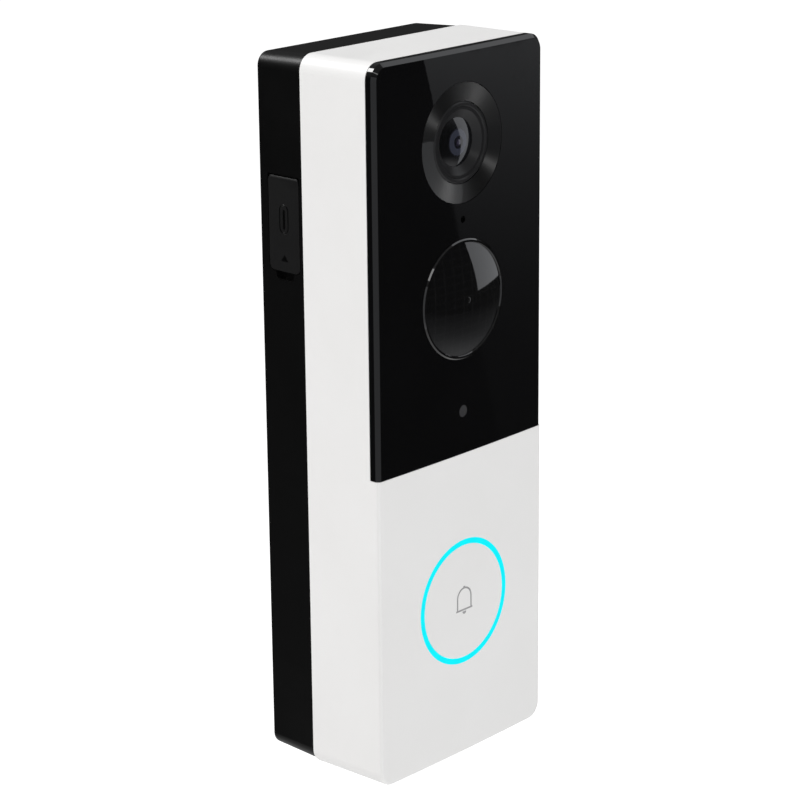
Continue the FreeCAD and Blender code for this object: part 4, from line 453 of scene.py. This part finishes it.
def deep_lens(name):
    """Coated lens: a polished dark dome with the iris and the pupil seen at its middle, painted on
    its face, and a painted violet reflection of the coatings in the middle of the pupil.
    """
    made, tree, shader = new_material(name)
    rings = place(tree, GROUPS["turned"], Centre=tuple(LENS), Pitch=0.00012)
    radius = rings["Radius"]
    pupil = spread(tree, radius, PUPIL_RADIUS * 0.96, PUPIL_RADIUS * 1.04)
    rim = spread(tree, radius, IRIS_RADIUS * 0.84, IRIS_RADIUS, smooth=True)
    # Painted reflection: a faint violet glint of the lens coatings, painted into the pupil's
    # colour, strongest at its middle
    glow = spread(tree, radius, PUPIL_RADIUS * 0.1, PUPIL_RADIUS * 0.75, smooth=True)
    iris = blend(tree, rings["Height"], (0.034, 0.037, 0.048), (0.028, 0.030, 0.040))
    # The pupil's colour carries this painted reflection at its middle and fades to dark towards
    # its edge
    depth = blend(tree, glow, (0.030, 0.024, 0.042), (0.0012, 0.0012, 0.003))
    inner = blend(tree, pupil, depth, iris)
    marks = place(tree, GROUPS["handling"], Smear_Size=0.004)
    feed(tree, shader, Base_Color=blend(tree, rim, inner, (0.0012, 0.0012, 0.0014)),
         Roughness=smeared(tree, marks, 0.3, 0.4))
    set_plain(shader, Specular_IOR_Level=0.2, Coat_Weight=1.0, Coat_Roughness=0.0, Coat_IOR=2.0,
              Coat_Tint=(0.85, 0.88, 1.0))
    return made


def brushed_metal(name, base, roughness):
    """Rolled metal: directional scratches and dull patches."""
    pitch, depth = 0.0002, 0.000002
    made, tree, shader = new_material(name)
    stretched = wire(tree, "ShaderNodeMapping", {"Vector": object_place(tree),
                                                 "Scale": (1.0, 1.0, 0.08)}).outputs[0]
    scratch = noise(tree, stretched, 1.0 / pitch, 4.0, 0.7)
    marks = place(tree, GROUPS["handling"])
    dull = smeared(tree, marks, roughness, roughness + 0.12)
    feed(tree, shader, Base_Color=blend(tree, scratch, base, scaled(base, 0.8)),
         Roughness=calc(tree, "ADD", calc(tree, "MULTIPLY", scratch, 0.12), dull))
    bump(tree, shader, scratch, depth)
    set_plain(shader, Metallic=1.0)
    return made


def circuit_board(name):
    """Green mask over copper tracks."""
    made, tree, shader = new_material(name)
    here = object_place(tree)
    cells = wire(tree, "ShaderNodeTexVoronoi", {"Vector": here, "Scale": 520.0},
                 distance="CHEBYCHEV", feature="F2").outputs["Distance"]
    track = spread(tree, calc(tree, "FRACT", calc(tree, "MULTIPLY", cells, 5.0)), 0.45, 0.55)
    texture = place(tree, GROUPS["moulded"])
    mask = blend(tree, texture["Cloud"], (0.004, 0.05, 0.018), (0.005, 0.065, 0.024))
    feed(tree, shader, Base_Color=blend(tree, track, mask, (0.012, 0.11, 0.045)),
         Roughness=spread(tree, track, 0.0, 1.0, 0.30, 0.22))
    bump(tree, shader, track, 0.00002)
    return made


def finish(material, *nodes):
    """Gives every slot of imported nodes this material."""
    for node in nodes:
        for slot in NODES[node].material_slots:
            slot.material = material


# ---------------- making meshes

def add_object(name, data):
    """A new object in the scene."""
    made = bpy.data.objects.new(name, data)
    bpy.context.scene.collection.objects.link(made)
    return made


def as_mesh(form, name):
    """A mesh from a form, which goes."""
    mesh = bpy.data.meshes.new(name)
    form.to_mesh(mesh)
    form.free()
    return mesh


def wall(form, first, second):
    """Faces between two closed rows of points."""
    for i, start in enumerate(first):
        j = (i + 1) % len(first)
        form.faces.new((start, first[j], second[j], second[i]))


def show(mesh, name, material, body, replaced=()):
    """Places a finished mesh as a piece that rides on a body."""
    mesh.name = name
    piece = add_object(name, mesh)
    mesh.materials.clear()
    mesh.materials.append(material)
    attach(piece, body)
    if replaced:
        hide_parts(*replaced)


def prism(outline, thickness):
    """A flat shape standing out of the XZ plane towards -Y, from its outline in order."""
    form = bmesh.new()
    back = [form.verts.new((x, 0.0, z)) for x, z in outline]
    front = [form.verts.new((x, -thickness, z)) for x, z in outline]
    form.faces.new(back)
    form.faces.new(list(reversed(front)))
    wall(form, back, front)
    bmesh.ops.recalc_face_normals(form, faces=form.faces)
    return as_mesh(form, "prism")


def arc(x, z, radius, start, end, count):
    """Points along an arc, both ends included. Angles in degrees."""
    turns = [math.radians(start + (end - start) * i / count) for i in range(count + 1)]
    return [(x + radius * math.cos(turn), z + radius * math.sin(turn)) for turn in turns]


def join_meshes(meshes, name):
    """One mesh from several."""
    form = bmesh.new()
    for mesh in meshes:
        form.from_mesh(mesh)
    return as_mesh(form, name)


def line_object(name, points, closed):
    """A curve of straight runs through points in the XZ plane."""
    data = bpy.data.curves.new(name, "CURVE")
    data.dimensions = "3D"
    line = data.splines.new("POLY")
    line.points.add(len(points) - 1)
    for point, (x, z) in zip(line.points, points):
        point.co = (x, 0.0, z, 1.0)
    line.use_cyclic_u = closed
    return add_object(name, data)


def node_tree_for_geometry(name, inputs):
    """A geometry node tree with named inputs, and the sockets by name."""
    tree = bpy.data.node_groups.new(name, "GeometryNodeTree")
    tree.interface.new_socket(name="Geometry", in_out="INPUT", socket_type="NodeSocketGeometry")
    for label, (kind, value) in inputs.items():
        made = tree.interface.new_socket(name=label, in_out="INPUT", socket_type=kind)
        if value is not None:
            made.default_value = value
    tree.interface.new_socket(name="Geometry", in_out="OUTPUT", socket_type="NodeSocketGeometry")
    return tree, tree.nodes.new("NodeGroupInput").outputs


def close_tree(tree, geometry, material):
    """Ends a geometry tree in real meshes with one material."""
    real = wire(tree, "GeometryNodeRealizeInstances", {"Geometry": geometry})
    coated = wire(tree, "GeometryNodeSetMaterial", {"Geometry": real.outputs[0],
                                                    "Material": material})
    tree.links.new(coated.outputs[0], tree.nodes.new("NodeGroupOutput").inputs["Geometry"])


def run_tree(carrier, tree, values):
    """Runs a geometry tree on an object and returns the plain mesh. The carrier goes."""
    modifier = carrier.modifiers.new(tree.name, "NODES")
    modifier.node_group = tree
    for item in tree.interface.items_tree:
        if item.item_type == "SOCKET" and item.in_out == "INPUT" and item.name in values:
            modifier[item.identifier] = values[item.name]
    bpy.context.view_layer.update()
    graph = bpy.context.evaluated_depsgraph_get()
    mesh = bpy.data.meshes.new_from_object(carrier.evaluated_get(graph),
                                           preserve_all_data_layers=True, depsgraph=graph)
    carrier.modifiers.remove(modifier)
    bpy.data.objects.remove(carrier)
    return mesh


def stroke_tree():
    """Follows a line with a flat stroke of the given width and height."""
    tree, source = node_tree_for_geometry("printed_stroke", {
        "Width": ("NodeSocketFloat", 0.0004), "Height": ("NodeSocketFloat", 0.00002),
        "Material": ("NodeSocketMaterial", None)})
    facing = wire(tree, "GeometryNodeSetCurveNormal", {"Curve": source["Geometry"],
                                                       "Normal": (0.0, -1.0, 0.0)}, mode="FREE")
    profile = wire(tree, "GeometryNodeCurvePrimitiveQuadrilateral", {
        "Width": source["Height"], "Height": source["Width"]})
    swept = wire(tree, "GeometryNodeCurveToMesh", {
        "Curve": facing.outputs[0], "Profile Curve": profile.outputs[0], "Fill Caps": True})
    close_tree(tree, swept.outputs[0], source["Material"])
    return tree


def stroke(name, points, closed, width, height, material):
    """A printed line as a mesh in the XZ plane."""
    tree = bpy.data.node_groups.get("printed_stroke") or stroke_tree()
    return run_tree(line_object(name, points, closed), tree,
                    {"Width": width, "Height": height, "Material": material})


# ---------------- operators: finishes

class Finisher(bpy.types.Operator):
    """Shared base of the operators."""
    bl_options = {"REGISTER", "UNDO"}


class DOORBELL_OT_shared_effects(Finisher):
    """Build the shader groups that the materials share"""
    bl_idname = "doorbell.shared_effects"
    bl_label = "Shared effects"

    def execute(self, context):
        GROUPS.update(make_groups())
        return {"FINISHED"}


class DOORBELL_OT_finish_shells(Finisher):
    """Coat the shells, the button, the flap and the wall bracket"""
    bl_idname = "doorbell.finish_shells"
    bl_label = "Shells and button"

    def execute(self, context):
        look = context.scene.doorbell_shells
        white = moulded_plastic("white_moulded", look.white, look.white_shade, look.roughness,
                                look.grain, look.grain_depth, 0.03)
        button = moulded_plastic("white_button", look.white, look.white_shade,
                                 look.roughness * 0.9, look.grain * 0.8, look.grain_depth, 0.02)
        black = moulded_plastic("black_moulded", look.black, look.black_shade,
                                look.roughness * 0.9, look.grain, look.grain_depth, 0.02,
                                Specular_IOR_Level=0.27)
        bracket = moulded_plastic("black_bracket", look.black, look.black_shade,
                                  0.5, look.grain * 2, look.grain_depth * 2, 0.04)
        rubber = moulded_plastic("soft_flap", (0.0048, 0.0048, 0.0051), (0.0058, 0.0058, 0.0061),
                                 0.55, look.grain * 0.7, look.grain_depth, 0.03,
                                 Specular_IOR_Level=0.36)
        seal = moulded_plastic("seal_rubber", (0.012, 0.012, 0.012), (0.02, 0.02, 0.02), 0.6,
                               look.grain * 0.7, look.grain_depth, 0.02)
        inner = moulded_plastic("inner_plastic", (0.02, 0.02, 0.021), (0.026, 0.026, 0.027),
                                0.5, look.grain * 1.5, look.grain_depth, 0.01)
        finish(white, "front_housing")
        finish(button, "button_cap")
        finish(black, "rear_housing")
        finish(bracket, "mounting_bracket")
        finish(rubber, "port_cover", "port_cover_anchor", "antenna_cable")
        finish(seal, "housing_gasket", "camera_gasket", "microphone_boot", "panel_adhesive",
               "speaker_gasket")
        finish(inner, "battery_holder", "board_connector", "lens_holder", "pir_holder",
               "switch_plunger", "sync_button")
        return {"FINISHED"}


class DOORBELL_OT_finish_front(Finisher):
    """Coat the dark panel, the motion lens, the camera trim and the lights"""
    bl_idname = "doorbell.finish_front"
    bl_label = "Panel, lenses and lights"

    def execute(self, context):
        look = context.scene.doorbell_panel
        trim = turned_trim("turned_trim", (0.0010, 0.0010, 0.0011), tuple(LENS), look.groove,
                           0.47, 0.0000001, Specular_IOR_Level=0.5, Anisotropic=0.98,
                           Coat_Weight=0.35, Coat_Roughness=0.01)
        lip = turned_trim("lens_lip", (0.009, 0.009, 0.0098), tuple(LENS), look.groove, 0.42,
                          0.0000002, Specular_IOR_Level=0.45, Anisotropic=0.8)
        barrel = turned_trim("ribbed_barrel", (0.003, 0.003, 0.003), tuple(LENS), 0.0002, 0.4,
                             0.00001)
        status = moulded_plastic("status_lens", (0.036, 0.036, 0.038), (0.045, 0.045, 0.047), 0.35,
                                 0.0003, 0.000004)
        finish(polished_panel("dark_panel", look.tint, look.smear, IOR=1.5), "front_glass")
        finish(motion_lens_finish("motion_lens", (0.003, 0.003, 0.0032), look.zone), "pir_lens")
        finish(deep_lens("coated_lens"), "front_lens")
        finish(lit_guide("lit_guide", context.scene.doorbell_lights), "light_ring")
        finish(status, "light_pipe")
        finish(trim, "camera_bezel")
        finish(lip, "lens_ring")
        finish(barrel, "lens_barrel", "aperture_stop")
        return {"FINISHED"}


class DOORBELL_OT_finish_inside(Finisher):
    """Coat the boards, chips, cells and metal parts"""
    bl_idname = "doorbell.finish_inside"
    bl_label = "Inner parts"

    def execute(self, context):
        board = circuit_board("circuit_board")
        chip = moulded_plastic("chip_black", (0.008, 0.008, 0.008), (0.012, 0.012, 0.012), 0.4,
                               0.0001, 0.000002)
        light = moulded_plastic("light_chip", (0.75, 0.72, 0.45), (0.7, 0.66, 0.4), 0.25,
                                0.0001, 0.000001)
        wrap = moulded_plastic("cell_wrap", (0.02, 0.11, 0.16), (0.025, 0.13, 0.19), 0.3,
                               0.0005, 0.000002)
        steel = brushed_metal("steel", (0.42, 0.41, 0.40), 0.28)
        shield = brushed_metal("shield_metal", (0.52, 0.51, 0.49), 0.34)
        contact = brushed_metal("contact_metal", (0.62, 0.58, 0.5), 0.25)
        finish(board, "button_board", "camera_board", "main_board", "pir_board",
               "sensor_bar_board", "wifi_antenna")
        finish(chip, "button_switch", "image_sensor", "infrared_leds", "speaker", "sync_switch")
        finish(light, "board_leds")
        finish(wrap, "battery_cells")
        finish(contact, "battery_contacts")
        finish(steel, "board_screws", "bracket_latch", "usb_c_port", "housing_screws")
        finish(shield, "microphone", "pir_sensor", "shield_can")
        return {"FINISHED"}


# ---------------- operators: pieces

class DOORBELL_OT_add_bell(Finisher):
    """Add the bell sign printed on the button"""
    bl_idname = "doorbell.add_bell"
    bl_label = "Bell sign"

    def execute(self, context):
        mark = context.scene.doorbell_marks
        ink = moulded_plastic("grey_print", mark.ink, scaled(mark.ink, 0.94), 0.35, 0.0001,
                              0.000001)
        radius = mark.bell_radius
        centre_z = BUTTON.z + mark.bell_offset
        top = centre_z + mark.bell_height / 2
        knob = radius * BELL_KNOB
        crest = top - knob
        shoulder = crest - radius
        sole = centre_z - mark.bell_height / 2 + radius * BELL_SOLE
        clapper = arc(0.0, sole - mark.stroke * 1.05, radius * BELL_CLAPPER, 180, 360, 14)
        pieces = [
            stroke("dome", [(-radius, sole)] + arc(0.0, shoulder, radius, 180, 0, 36)
                   + [(radius, sole)], False, mark.stroke, mark.thickness, ink),
            stroke("sole", [(-radius - mark.sole_overhang, sole),
                            (radius + mark.sole_overhang, sole)],
                   False, mark.stroke, mark.thickness, ink),
            prism(arc(0.0, crest + knob * 0.2, knob, -15, 195, 14), mark.thickness),
            prism(clapper, mark.thickness)]
        sign = join_meshes(pieces, "bell_sign")
        fall = CROWN / PANEL_HIGH.x ** 2
        for vertex in sign.vertices:
            vertex.co.y += front_of("button_cap") + fall * vertex.co.x ** 2
        show(sign, "bell_sign", ink, "bell_button")
        return {"FINISHED"}


class DOORBELL_OT_add_flap_marks(Finisher):
    """Add the marks printed on the port flap"""
    bl_idname = "doorbell.add_flap_marks"
    bl_label = "Flap marks"

    def execute(self, context):
        mark = context.scene.doorbell_marks
        ink = moulded_plastic("dark_print", mark.flap_ink, scaled(mark.flap_ink, 1.3), 0.3,
                              0.0001, 0.000001, Specular_IOR_Level=0.25)
        axis = Vector(next(joint["axis"] for joint in frame["joints"]
                           if joint["name"] == "sync_press"))
        outward = -axis.normalized()
        cover = NODES["port_cover"].data.vertices
        reach = max(outward.dot(vertex.co) for vertex in cover)
        centre = middle("port_cover")
        along = Vector((0, 0, 1)).cross(outward).normalized()
        start = outward * reach + along * along.dot(centre)
        turn = Matrix((along, -outward, Vector((0, 0, 1)))).transposed().to_4x4()
        arrow_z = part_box("port_cover")[0].z + 2.0 * MM
        arrow_side, arrow_height = 1.0 * MM, 1.3 * MM
        port_z = middle("usb_c_port").z - 2.1 * MM
        width, half_length, line_width = 1.15 * MM, 1.6 * MM, 0.3 * MM

        def slot_outline(radius, count):
            return (arc(0.0, port_z + half_length, radius, 0, 180, count)
                    + arc(0.0, port_z - half_length, radius, 180, 360, count))

        triangle = [(-arrow_side, arrow_z), (arrow_side, arrow_z),
                    (0.0, arrow_z + arrow_height)]
        pieces = [
            stroke("socket", slot_outline(width, 16), True, line_width, mark.thickness, ink),
            prism(slot_outline(line_width, 8), mark.thickness),
            prism(triangle, mark.thickness)]
        marks = join_meshes(pieces, "flap_marks")
        marks.transform(Matrix.Translation(start) @ turn)
        show(marks, "flap_marks", ink, "port_flap")
        return {"FINISHED"}


def cross_screw(size, count=24):
    """A pan head screw with a cross recess, its seat at y = 0 and its head towards +Y."""
    form = bmesh.new()
    reach, half = size.recess, size.recess_width / 2
    plus = [(reach, -half), (reach, half), (half, half), (half, reach), (-half, reach),
            (-half, half), (-reach, half), (-reach, -half), (-half, -half), (-half, -reach),
            (half, -reach), (half, -half)]

    def loop(points, y):
        return [form.verts.new((x, y, z)) for x, z in points]

    def ring_points(radius):
        turns = [FULL_TURN * i / count for i in range(count)]
        return [(radius * math.cos(turn), radius * math.sin(turn)) for turn in turns]

    top = size.head_height
    rim = loop(ring_points(size.head_radius * SCREW_CROWN), top)
    mouth = loop(plus, top)
    floor = loop([(x * RECESS_TAPER, z * RECESS_TAPER) for x, z in plus],
                 top - size.recess_depth)
    edges = [form.edges.new((row[i], row[(i + 1) % len(row)]))
             for row in (rim, mouth) for i in range(len(row))]
    bmesh.ops.triangle_fill(form, edges=edges, use_beauty=True)
    wall(form, mouth, floor)
    form.faces.new(floor)
    shoulder = loop(ring_points(size.head_radius), top * SCREW_SHOULDER)
    seat = loop(ring_points(size.head_radius), 0.0)
    neck = loop(ring_points(size.shank_radius), 0.0)
    tip = loop(ring_points(size.shank_radius), -SHANK_LENGTH)
    for first, second in ((rim, shoulder), (shoulder, seat), (seat, neck), (neck, tip)):
        wall(form, first, second)
    form.faces.new(tip)
    bmesh.ops.recalc_face_normals(form, faces=form.faces)
    return as_mesh(form, "cross_screw")


def fastener_tree():
    """Sets one fastener on each point."""
    tree, source = node_tree_for_geometry("set_fasteners", {
        "Fastener": ("NodeSocketObject", None), "Turn Seed": ("NodeSocketInt", 7),
        "Material": ("NodeSocketMaterial", None)})
    turn = wire(tree, "FunctionNodeRandomValue", {"Seed": source["Turn Seed"]},
                data_type="FLOAT")
    turn.inputs["Max"].default_value = SCREW_TURN
    aim = wire(tree, "ShaderNodeCombineXYZ", {"Y": turn.outputs["Value"]})
    shape = wire(tree, "GeometryNodeObjectInfo", {"Object": source["Fastener"]})
    placed = wire(tree, "GeometryNodeInstanceOnPoints", {
        "Points": source["Geometry"], "Instance": shape.outputs["Geometry"],
        "Rotation": aim.outputs[0]})
    close_tree(tree, placed.outputs[0], source["Material"])
    return tree


class DOORBELL_OT_add_shell_screws(Finisher):
    """Add the cross recess screws that close the shells"""
    bl_idname = "doorbell.add_shell_screws"
    bl_label = "Shell screws"

    def execute(self, context):
        size = context.scene.doorbell_fasteners
        steel = brushed_metal("screw_steel", (0.10, 0.10, 0.105), 0.32)
        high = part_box("housing_screws")[1]
        seat = high.y - size.head_height
        across, up = high.x - size.head_radius, high.z - size.head_radius
        places = bpy.data.meshes.new("screw_places")
        places.from_pydata([(x, seat, z) for x in (-across, across) for z in (-up, up)], [], [])
        carrier = add_object("screw_places", places)
        pattern = add_object("screw_pattern", cross_screw(size))
        mesh = run_tree(carrier, fastener_tree(), {"Fastener": pattern, "Material": steel})
        bpy.data.objects.remove(pattern)
        show(mesh, "shell_screws", steel, "unit", ["housing_screws"])
        return {"FINISHED"}


# ---------------- operator: stage

def soft_light(name, spot, target, side, power, tint=(1.0, 1.0, 1.0)):
    """A square soft box that faces a target."""
    data = bpy.data.lights.new(name, "AREA")
    data.shape = "RECTANGLE"
    data.size = side
    data.size_y = side
    data.energy = power
    data.color = tint
    lamp = add_object(name, data)
    lamp.location = spot
    lamp.rotation_euler = (Vector(target) - Vector(spot)).to_track_quat("-Z", "Y").to_euler()
    return lamp


def receivers(lamp, nodes):
    """Let a light or a card reach only these nodes."""
    chosen = bpy.data.collections.new(lamp.name)
    for node in nodes:
        chosen.objects.link(NODES[node])
    lamp.light_linking.receiver_collection = chosen


def light_card(name, corners, top, bottom, falloff, nodes=()):
    """A glowing film that only mirrors see. Its light falls from its top to its bottom."""
    mesh = bpy.data.meshes.new(name)
    mesh.from_pydata(corners, [], [(0, 1, 2, 3)])
    card = add_object(name, mesh)
    made = bpy.data.materials.new(name)
    made.use_nodes = True
    tree = made.node_tree
    tree.nodes.clear()
    height = wire(tree, "ShaderNodeSeparateXYZ", {0: object_place(tree)}).outputs["Z"]
    heights = [corner.z for corner in corners]
    risen = calc(tree, "POWER", spread(tree, height, min(heights), max(heights)), falloff)
    level = spread(tree, risen, 0.0, 1.0, bottom, top)
    glow = wire(tree, "ShaderNodeEmission", {"Color": (0.94, 0.96, 1.0, 1.0), "Strength": level})
    film = tree.nodes.new("ShaderNodeAddShader")
    clear = tree.nodes.new("ShaderNodeBsdfTransparent")
    tree.links.new(glow.outputs[0], film.inputs[0])
    tree.links.new(clear.outputs[0], film.inputs[1])
    out = wire(tree, "ShaderNodeOutputMaterial")
    tree.links.new(film.outputs[0], out.inputs[0])
    mesh.materials.append(made)
    if nodes:
        receivers(card, nodes)
    card.visible_camera = False
    card.visible_diffuse = False
    card.visible_shadow = False
    card.visible_transmission = False


def on_panel(node, x, z):
    """A point of the crowned front, in millimetres from the origin, and its normal."""
    fall = CROWN * (x * MM / PANEL_HIGH.x) ** 2
    slope = 2 * CROWN * x * MM / PANEL_HIGH.x ** 2
    point = Vector((x * MM, front_of(node) + fall, z * MM))
    return point, Vector((slope, -1.0, 0.0)).normalized()


def on_dome(node, x, z):
    """A point of a domed lens, in millimetres from its centre, and its normal."""
    radius, rise = DOMES[node]
    sphere = (radius ** 2 + rise ** 2) / (2 * rise)
    point = Vector((x * MM, front_of(node), middle(node).z + z * MM))
    return point, Vector((x * MM / sphere, -1.0, z * MM / sphere)).normalized()


def on_trim(node, angle, tilt):
    """A point of the trim's dished face, by its angle, and its normal, its slope times a tilt."""
    turn = math.radians(angle)
    way = Vector((math.cos(turn), 0.0, math.sin(turn)))
    middle_radius = (TRIM_OUTER + TRIM_BORE) / 2
    slope = tilt * TRIM_DISH / (TRIM_OUTER - TRIM_BORE)
    point = Vector((0.0, front_of(node), LENS.z)) + way * middle_radius
    return point, (Vector((0.0, -1.0, 0.0)) - way * slope).normalized()


def mirrored(eye, point, normal):
    """Where a look from the eye goes to, once a surface has turned it back at a point."""
    ray = (point - eye).normalized()
    return point + (ray - 2 * ray.dot(normal) * normal) * CARD_DISTANCE


class DOORBELL_OT_set_stage(Finisher):
    """Set the camera, the pale floor and the soft studio lights"""
    bl_idname = "doorbell.set_stage"
    bl_label = "Stage"

    def execute(self, context):
        look = context.scene.doorbell_stage
        scene = context.scene
        scene.view_settings.view_transform = "Standard"
        eye = Vector(look.eye)
        data = bpy.data.cameras.new("camera")
        data.lens = look.focal
        data.sensor_width = SENSOR_WIDTH
        data.clip_start = 0.01
        data.clip_end = 50.0
        camera = add_object("camera", data)
        camera.location = eye
        camera.rotation_euler = Euler(look.aim, "XYZ")
        scene.camera = camera
        self.make_world(scene, look)
        self.make_floor(look)
        self.make_lights(eye)
        return {"FINISHED"}

    def make_world(self, scene, look):
        """White to the camera, soft light on matt parts, dark surroundings in the gloss."""
        world = bpy.data.worlds.new("studio")
        scene.world = world
        world.use_nodes = True
        world.cycles.sampling_method = "NONE"
        tree = world.node_tree
        tree.nodes.clear()
        path = tree.nodes.new("ShaderNodeLightPath").outputs
        looking = tree.nodes.new("ShaderNodeTexCoord").outputs["Generated"]
        rise = wire(tree, "ShaderNodeSeparateXYZ", {0: looking}).outputs["Z"]
        above = spread(tree, rise, 0.05, 0.6, look.gloss_level, look.gloss_above, smooth=True)
        below = spread(tree, rise, -0.8, -0.4, look.gloss_below, 0.0, smooth=True)
        gloss = calc(tree, "ADD", above, below)
        level = spread(tree, path["Is Glossy Ray"], 0.0, 1.0, look.ambient, gloss)
        strength = calc(tree, "MAXIMUM", level, path["Is Camera Ray"])
        back = wire(tree, "ShaderNodeBackground", {"Strength": strength})
        out = tree.nodes.new("ShaderNodeOutputWorld")
        tree.links.new(back.outputs[0], out.inputs[0])

    def make_floor(self, look):
        """A pale floor well below the unit, which hangs on a wall in use."""
        mesh = bpy.data.meshes.new("floor")
        mesh.from_pydata([(x * FLOOR_SIDE, y * FLOOR_SIDE, -look.floor_drop)
                          for x, y in ((-1, -1), (1, -1), (1, 1), (-1, 1))], [], [(0, 1, 2, 3)])
        floor = add_object("floor", mesh)
        made, tree, shader = new_material("pale_floor")
        texture = place(tree, GROUPS["moulded"], Grain_Size=0.002, Cloud_Size=0.6)
        seen = tree.nodes.new("ShaderNodeLightPath").outputs["Is Camera Ray"]
        feed(tree, shader,
             Base_Color=blend(tree, texture["Cloud"], (0.93, 0.93, 0.93), (0.91, 0.91, 0.91)),
             Emission_Color=blend(tree, seen, (0.06, 0.06, 0.06), (0.3, 0.3, 0.3)))
        set_plain(shader, Roughness=0.9, Specular_IOR_Level=0.0, Emission_Strength=1.0)
        mesh.materials.append(made)
        floor.visible_glossy = False

    def make_lights(self, eye):
        """Key, trim, corner and fill lights, and the cards that the glossy parts mirror."""
        lens, middle_front = tuple(LENS), (0, 0, 0.03)
        soft_light("key_light", (-0.34, -0.76, 0.54), middle_front, 0.26, 0.7)
        receivers(soft_light("trim_light_left", (-0.42, -0.70, 0.574), lens, 0.10, 4.6),
                  ["camera_bezel"])
        receivers(soft_light("trim_light_right", (0.85, -0.50, 0.12), lens, 0.10, 1.3),
                  ["camera_bezel"])
        soft_light("corner_light", (-0.30, 0.66, 0.72), (0, 0, 0), 0.30, 4.6)
        side_fill = soft_light("side_fill", (-1.15, 0.15, 0.10), (0, 0, 0), 0.5, 0.2,
                               (1.0, 0.72, 0.50))
        low_fill = soft_light("low_fill", (0.05, -0.80, -0.45), (0, 0, -0.08), 0.4, 1.3)
        side_fill.visible_glossy = False
        low_fill.visible_glossy = False
        # name, node that mirrors it, corners on that node, level at its top and bottom, falloff
        for name, surface, node, corners, top, bottom, falloff in (
                ("trim_card", on_trim, "camera_bezel",
                 ((170.0, 1.0), (272.0, 1.0), (272.0, 4.0), (170.0, 4.0)), 0.70, 0.85, 1.0),
                ("lens_card", on_dome, "front_lens",
                 ((-1.1, 5.2), (8.0, 5.2), (8.0, -4.6), (0.3, -4.6)), 0.60, 0.42, 1.0),
                ("panel_card", on_panel, "front_glass",
                 ((-11.2, 71.5), (45.0, 71.5), (45.0, -8.0), (11.0, -8.0)), 0.40, 0.01, 2.8),
                ("window_card", on_dome, "pir_lens",
                 ((-0.4, 17.0), (24.0, 20.0), (24.0, 7.4), (4.1, 1.8)), 1.0, 0.8, 1.0),
                ("ground_card", on_dome, "pir_lens",
                 ((-16.0, -1.0), (24.0, -1.0), (24.0, -14.0), (-16.0, -14.0)), 0.0, 0.40, 0.6)):
            places = [mirrored(eye, *surface(node, *corner)) for corner in corners]
            light_card(name, places, top, bottom, falloff, [node])
        for name, normal, size, level in (
                ("left_card", (-1.0, -1.0, 0.0), 0.50, 0.6),
                ("top_card", (0.0, -1.0, 1.0), 0.30, 1.0)):
            centre = mirrored(eye, Vector((0.0, PANEL_LOW.y, 40 * MM)),
                              Vector(normal).normalized())
            across = centre.cross(Vector((0, 0, 1))).normalized() * size
            up = across.cross(centre).normalized() * size
            corners = [centre - across + up, centre + across + up,
                       centre + across - up, centre - across - up]
            light_card(name, corners, level, level * 0.8, 1.0)


# ---------------- panel and registration

STEPS = (
    DOORBELL_OT_shared_effects,
    DOORBELL_OT_finish_shells,
    DOORBELL_OT_finish_front,
    DOORBELL_OT_finish_inside,
    DOORBELL_OT_add_bell,
    DOORBELL_OT_add_flap_marks,
    DOORBELL_OT_add_shell_screws,
    DOORBELL_OT_set_stage,
)

SETTINGS = {
    "doorbell_shells": ShellFinish,
    "doorbell_panel": PanelFinish,
    "doorbell_lights": LightFinish,
    "doorbell_marks": MarkSizes,
    "doorbell_fasteners": FastenerSizes,
    "doorbell_stage": StageSettings,
}


class DOORBELL_PT_panel(bpy.types.Panel):
    """Lists the steps and the settings"""
    bl_label = "Doorbell"
    bl_idname = "DOORBELL_PT_panel"
    bl_space_type = "VIEW_3D"
    bl_region_type = "UI"
    bl_category = "Doorbell"

    def draw(self, context):
        for step in STEPS:
            self.layout.operator(step.bl_idname)
        for name, group in SETTINGS.items():
            box = self.layout.box()
            for setting in group.__annotations__:
                box.prop(getattr(context.scene, name), setting)


def register():
    """Registers the settings, the operators and the panel."""
    for group in SETTINGS.values():
        bpy.utils.register_class(group)
    for name, group in SETTINGS.items():
        setattr(bpy.types.Scene, name, PointerProperty(type=group))
    for step in STEPS:
        bpy.utils.register_class(step)
    bpy.utils.register_class(DOORBELL_PT_panel)


def unregister():
    """Removes what register added."""
    bpy.utils.unregister_class(DOORBELL_PT_panel)
    for step in reversed(STEPS):
        bpy.utils.unregister_class(step)
    for name in SETTINGS:
        delattr(bpy.types.Scene, name)
    for group in reversed(tuple(SETTINGS.values())):
        bpy.utils.unregister_class(group)


def main():
    """Runs every step in order."""
    register()
    for step in STEPS:
        area, name = step.bl_idname.split(".")
        getattr(getattr(bpy.ops, area), name)()


if __name__ == "__main__":
    main()
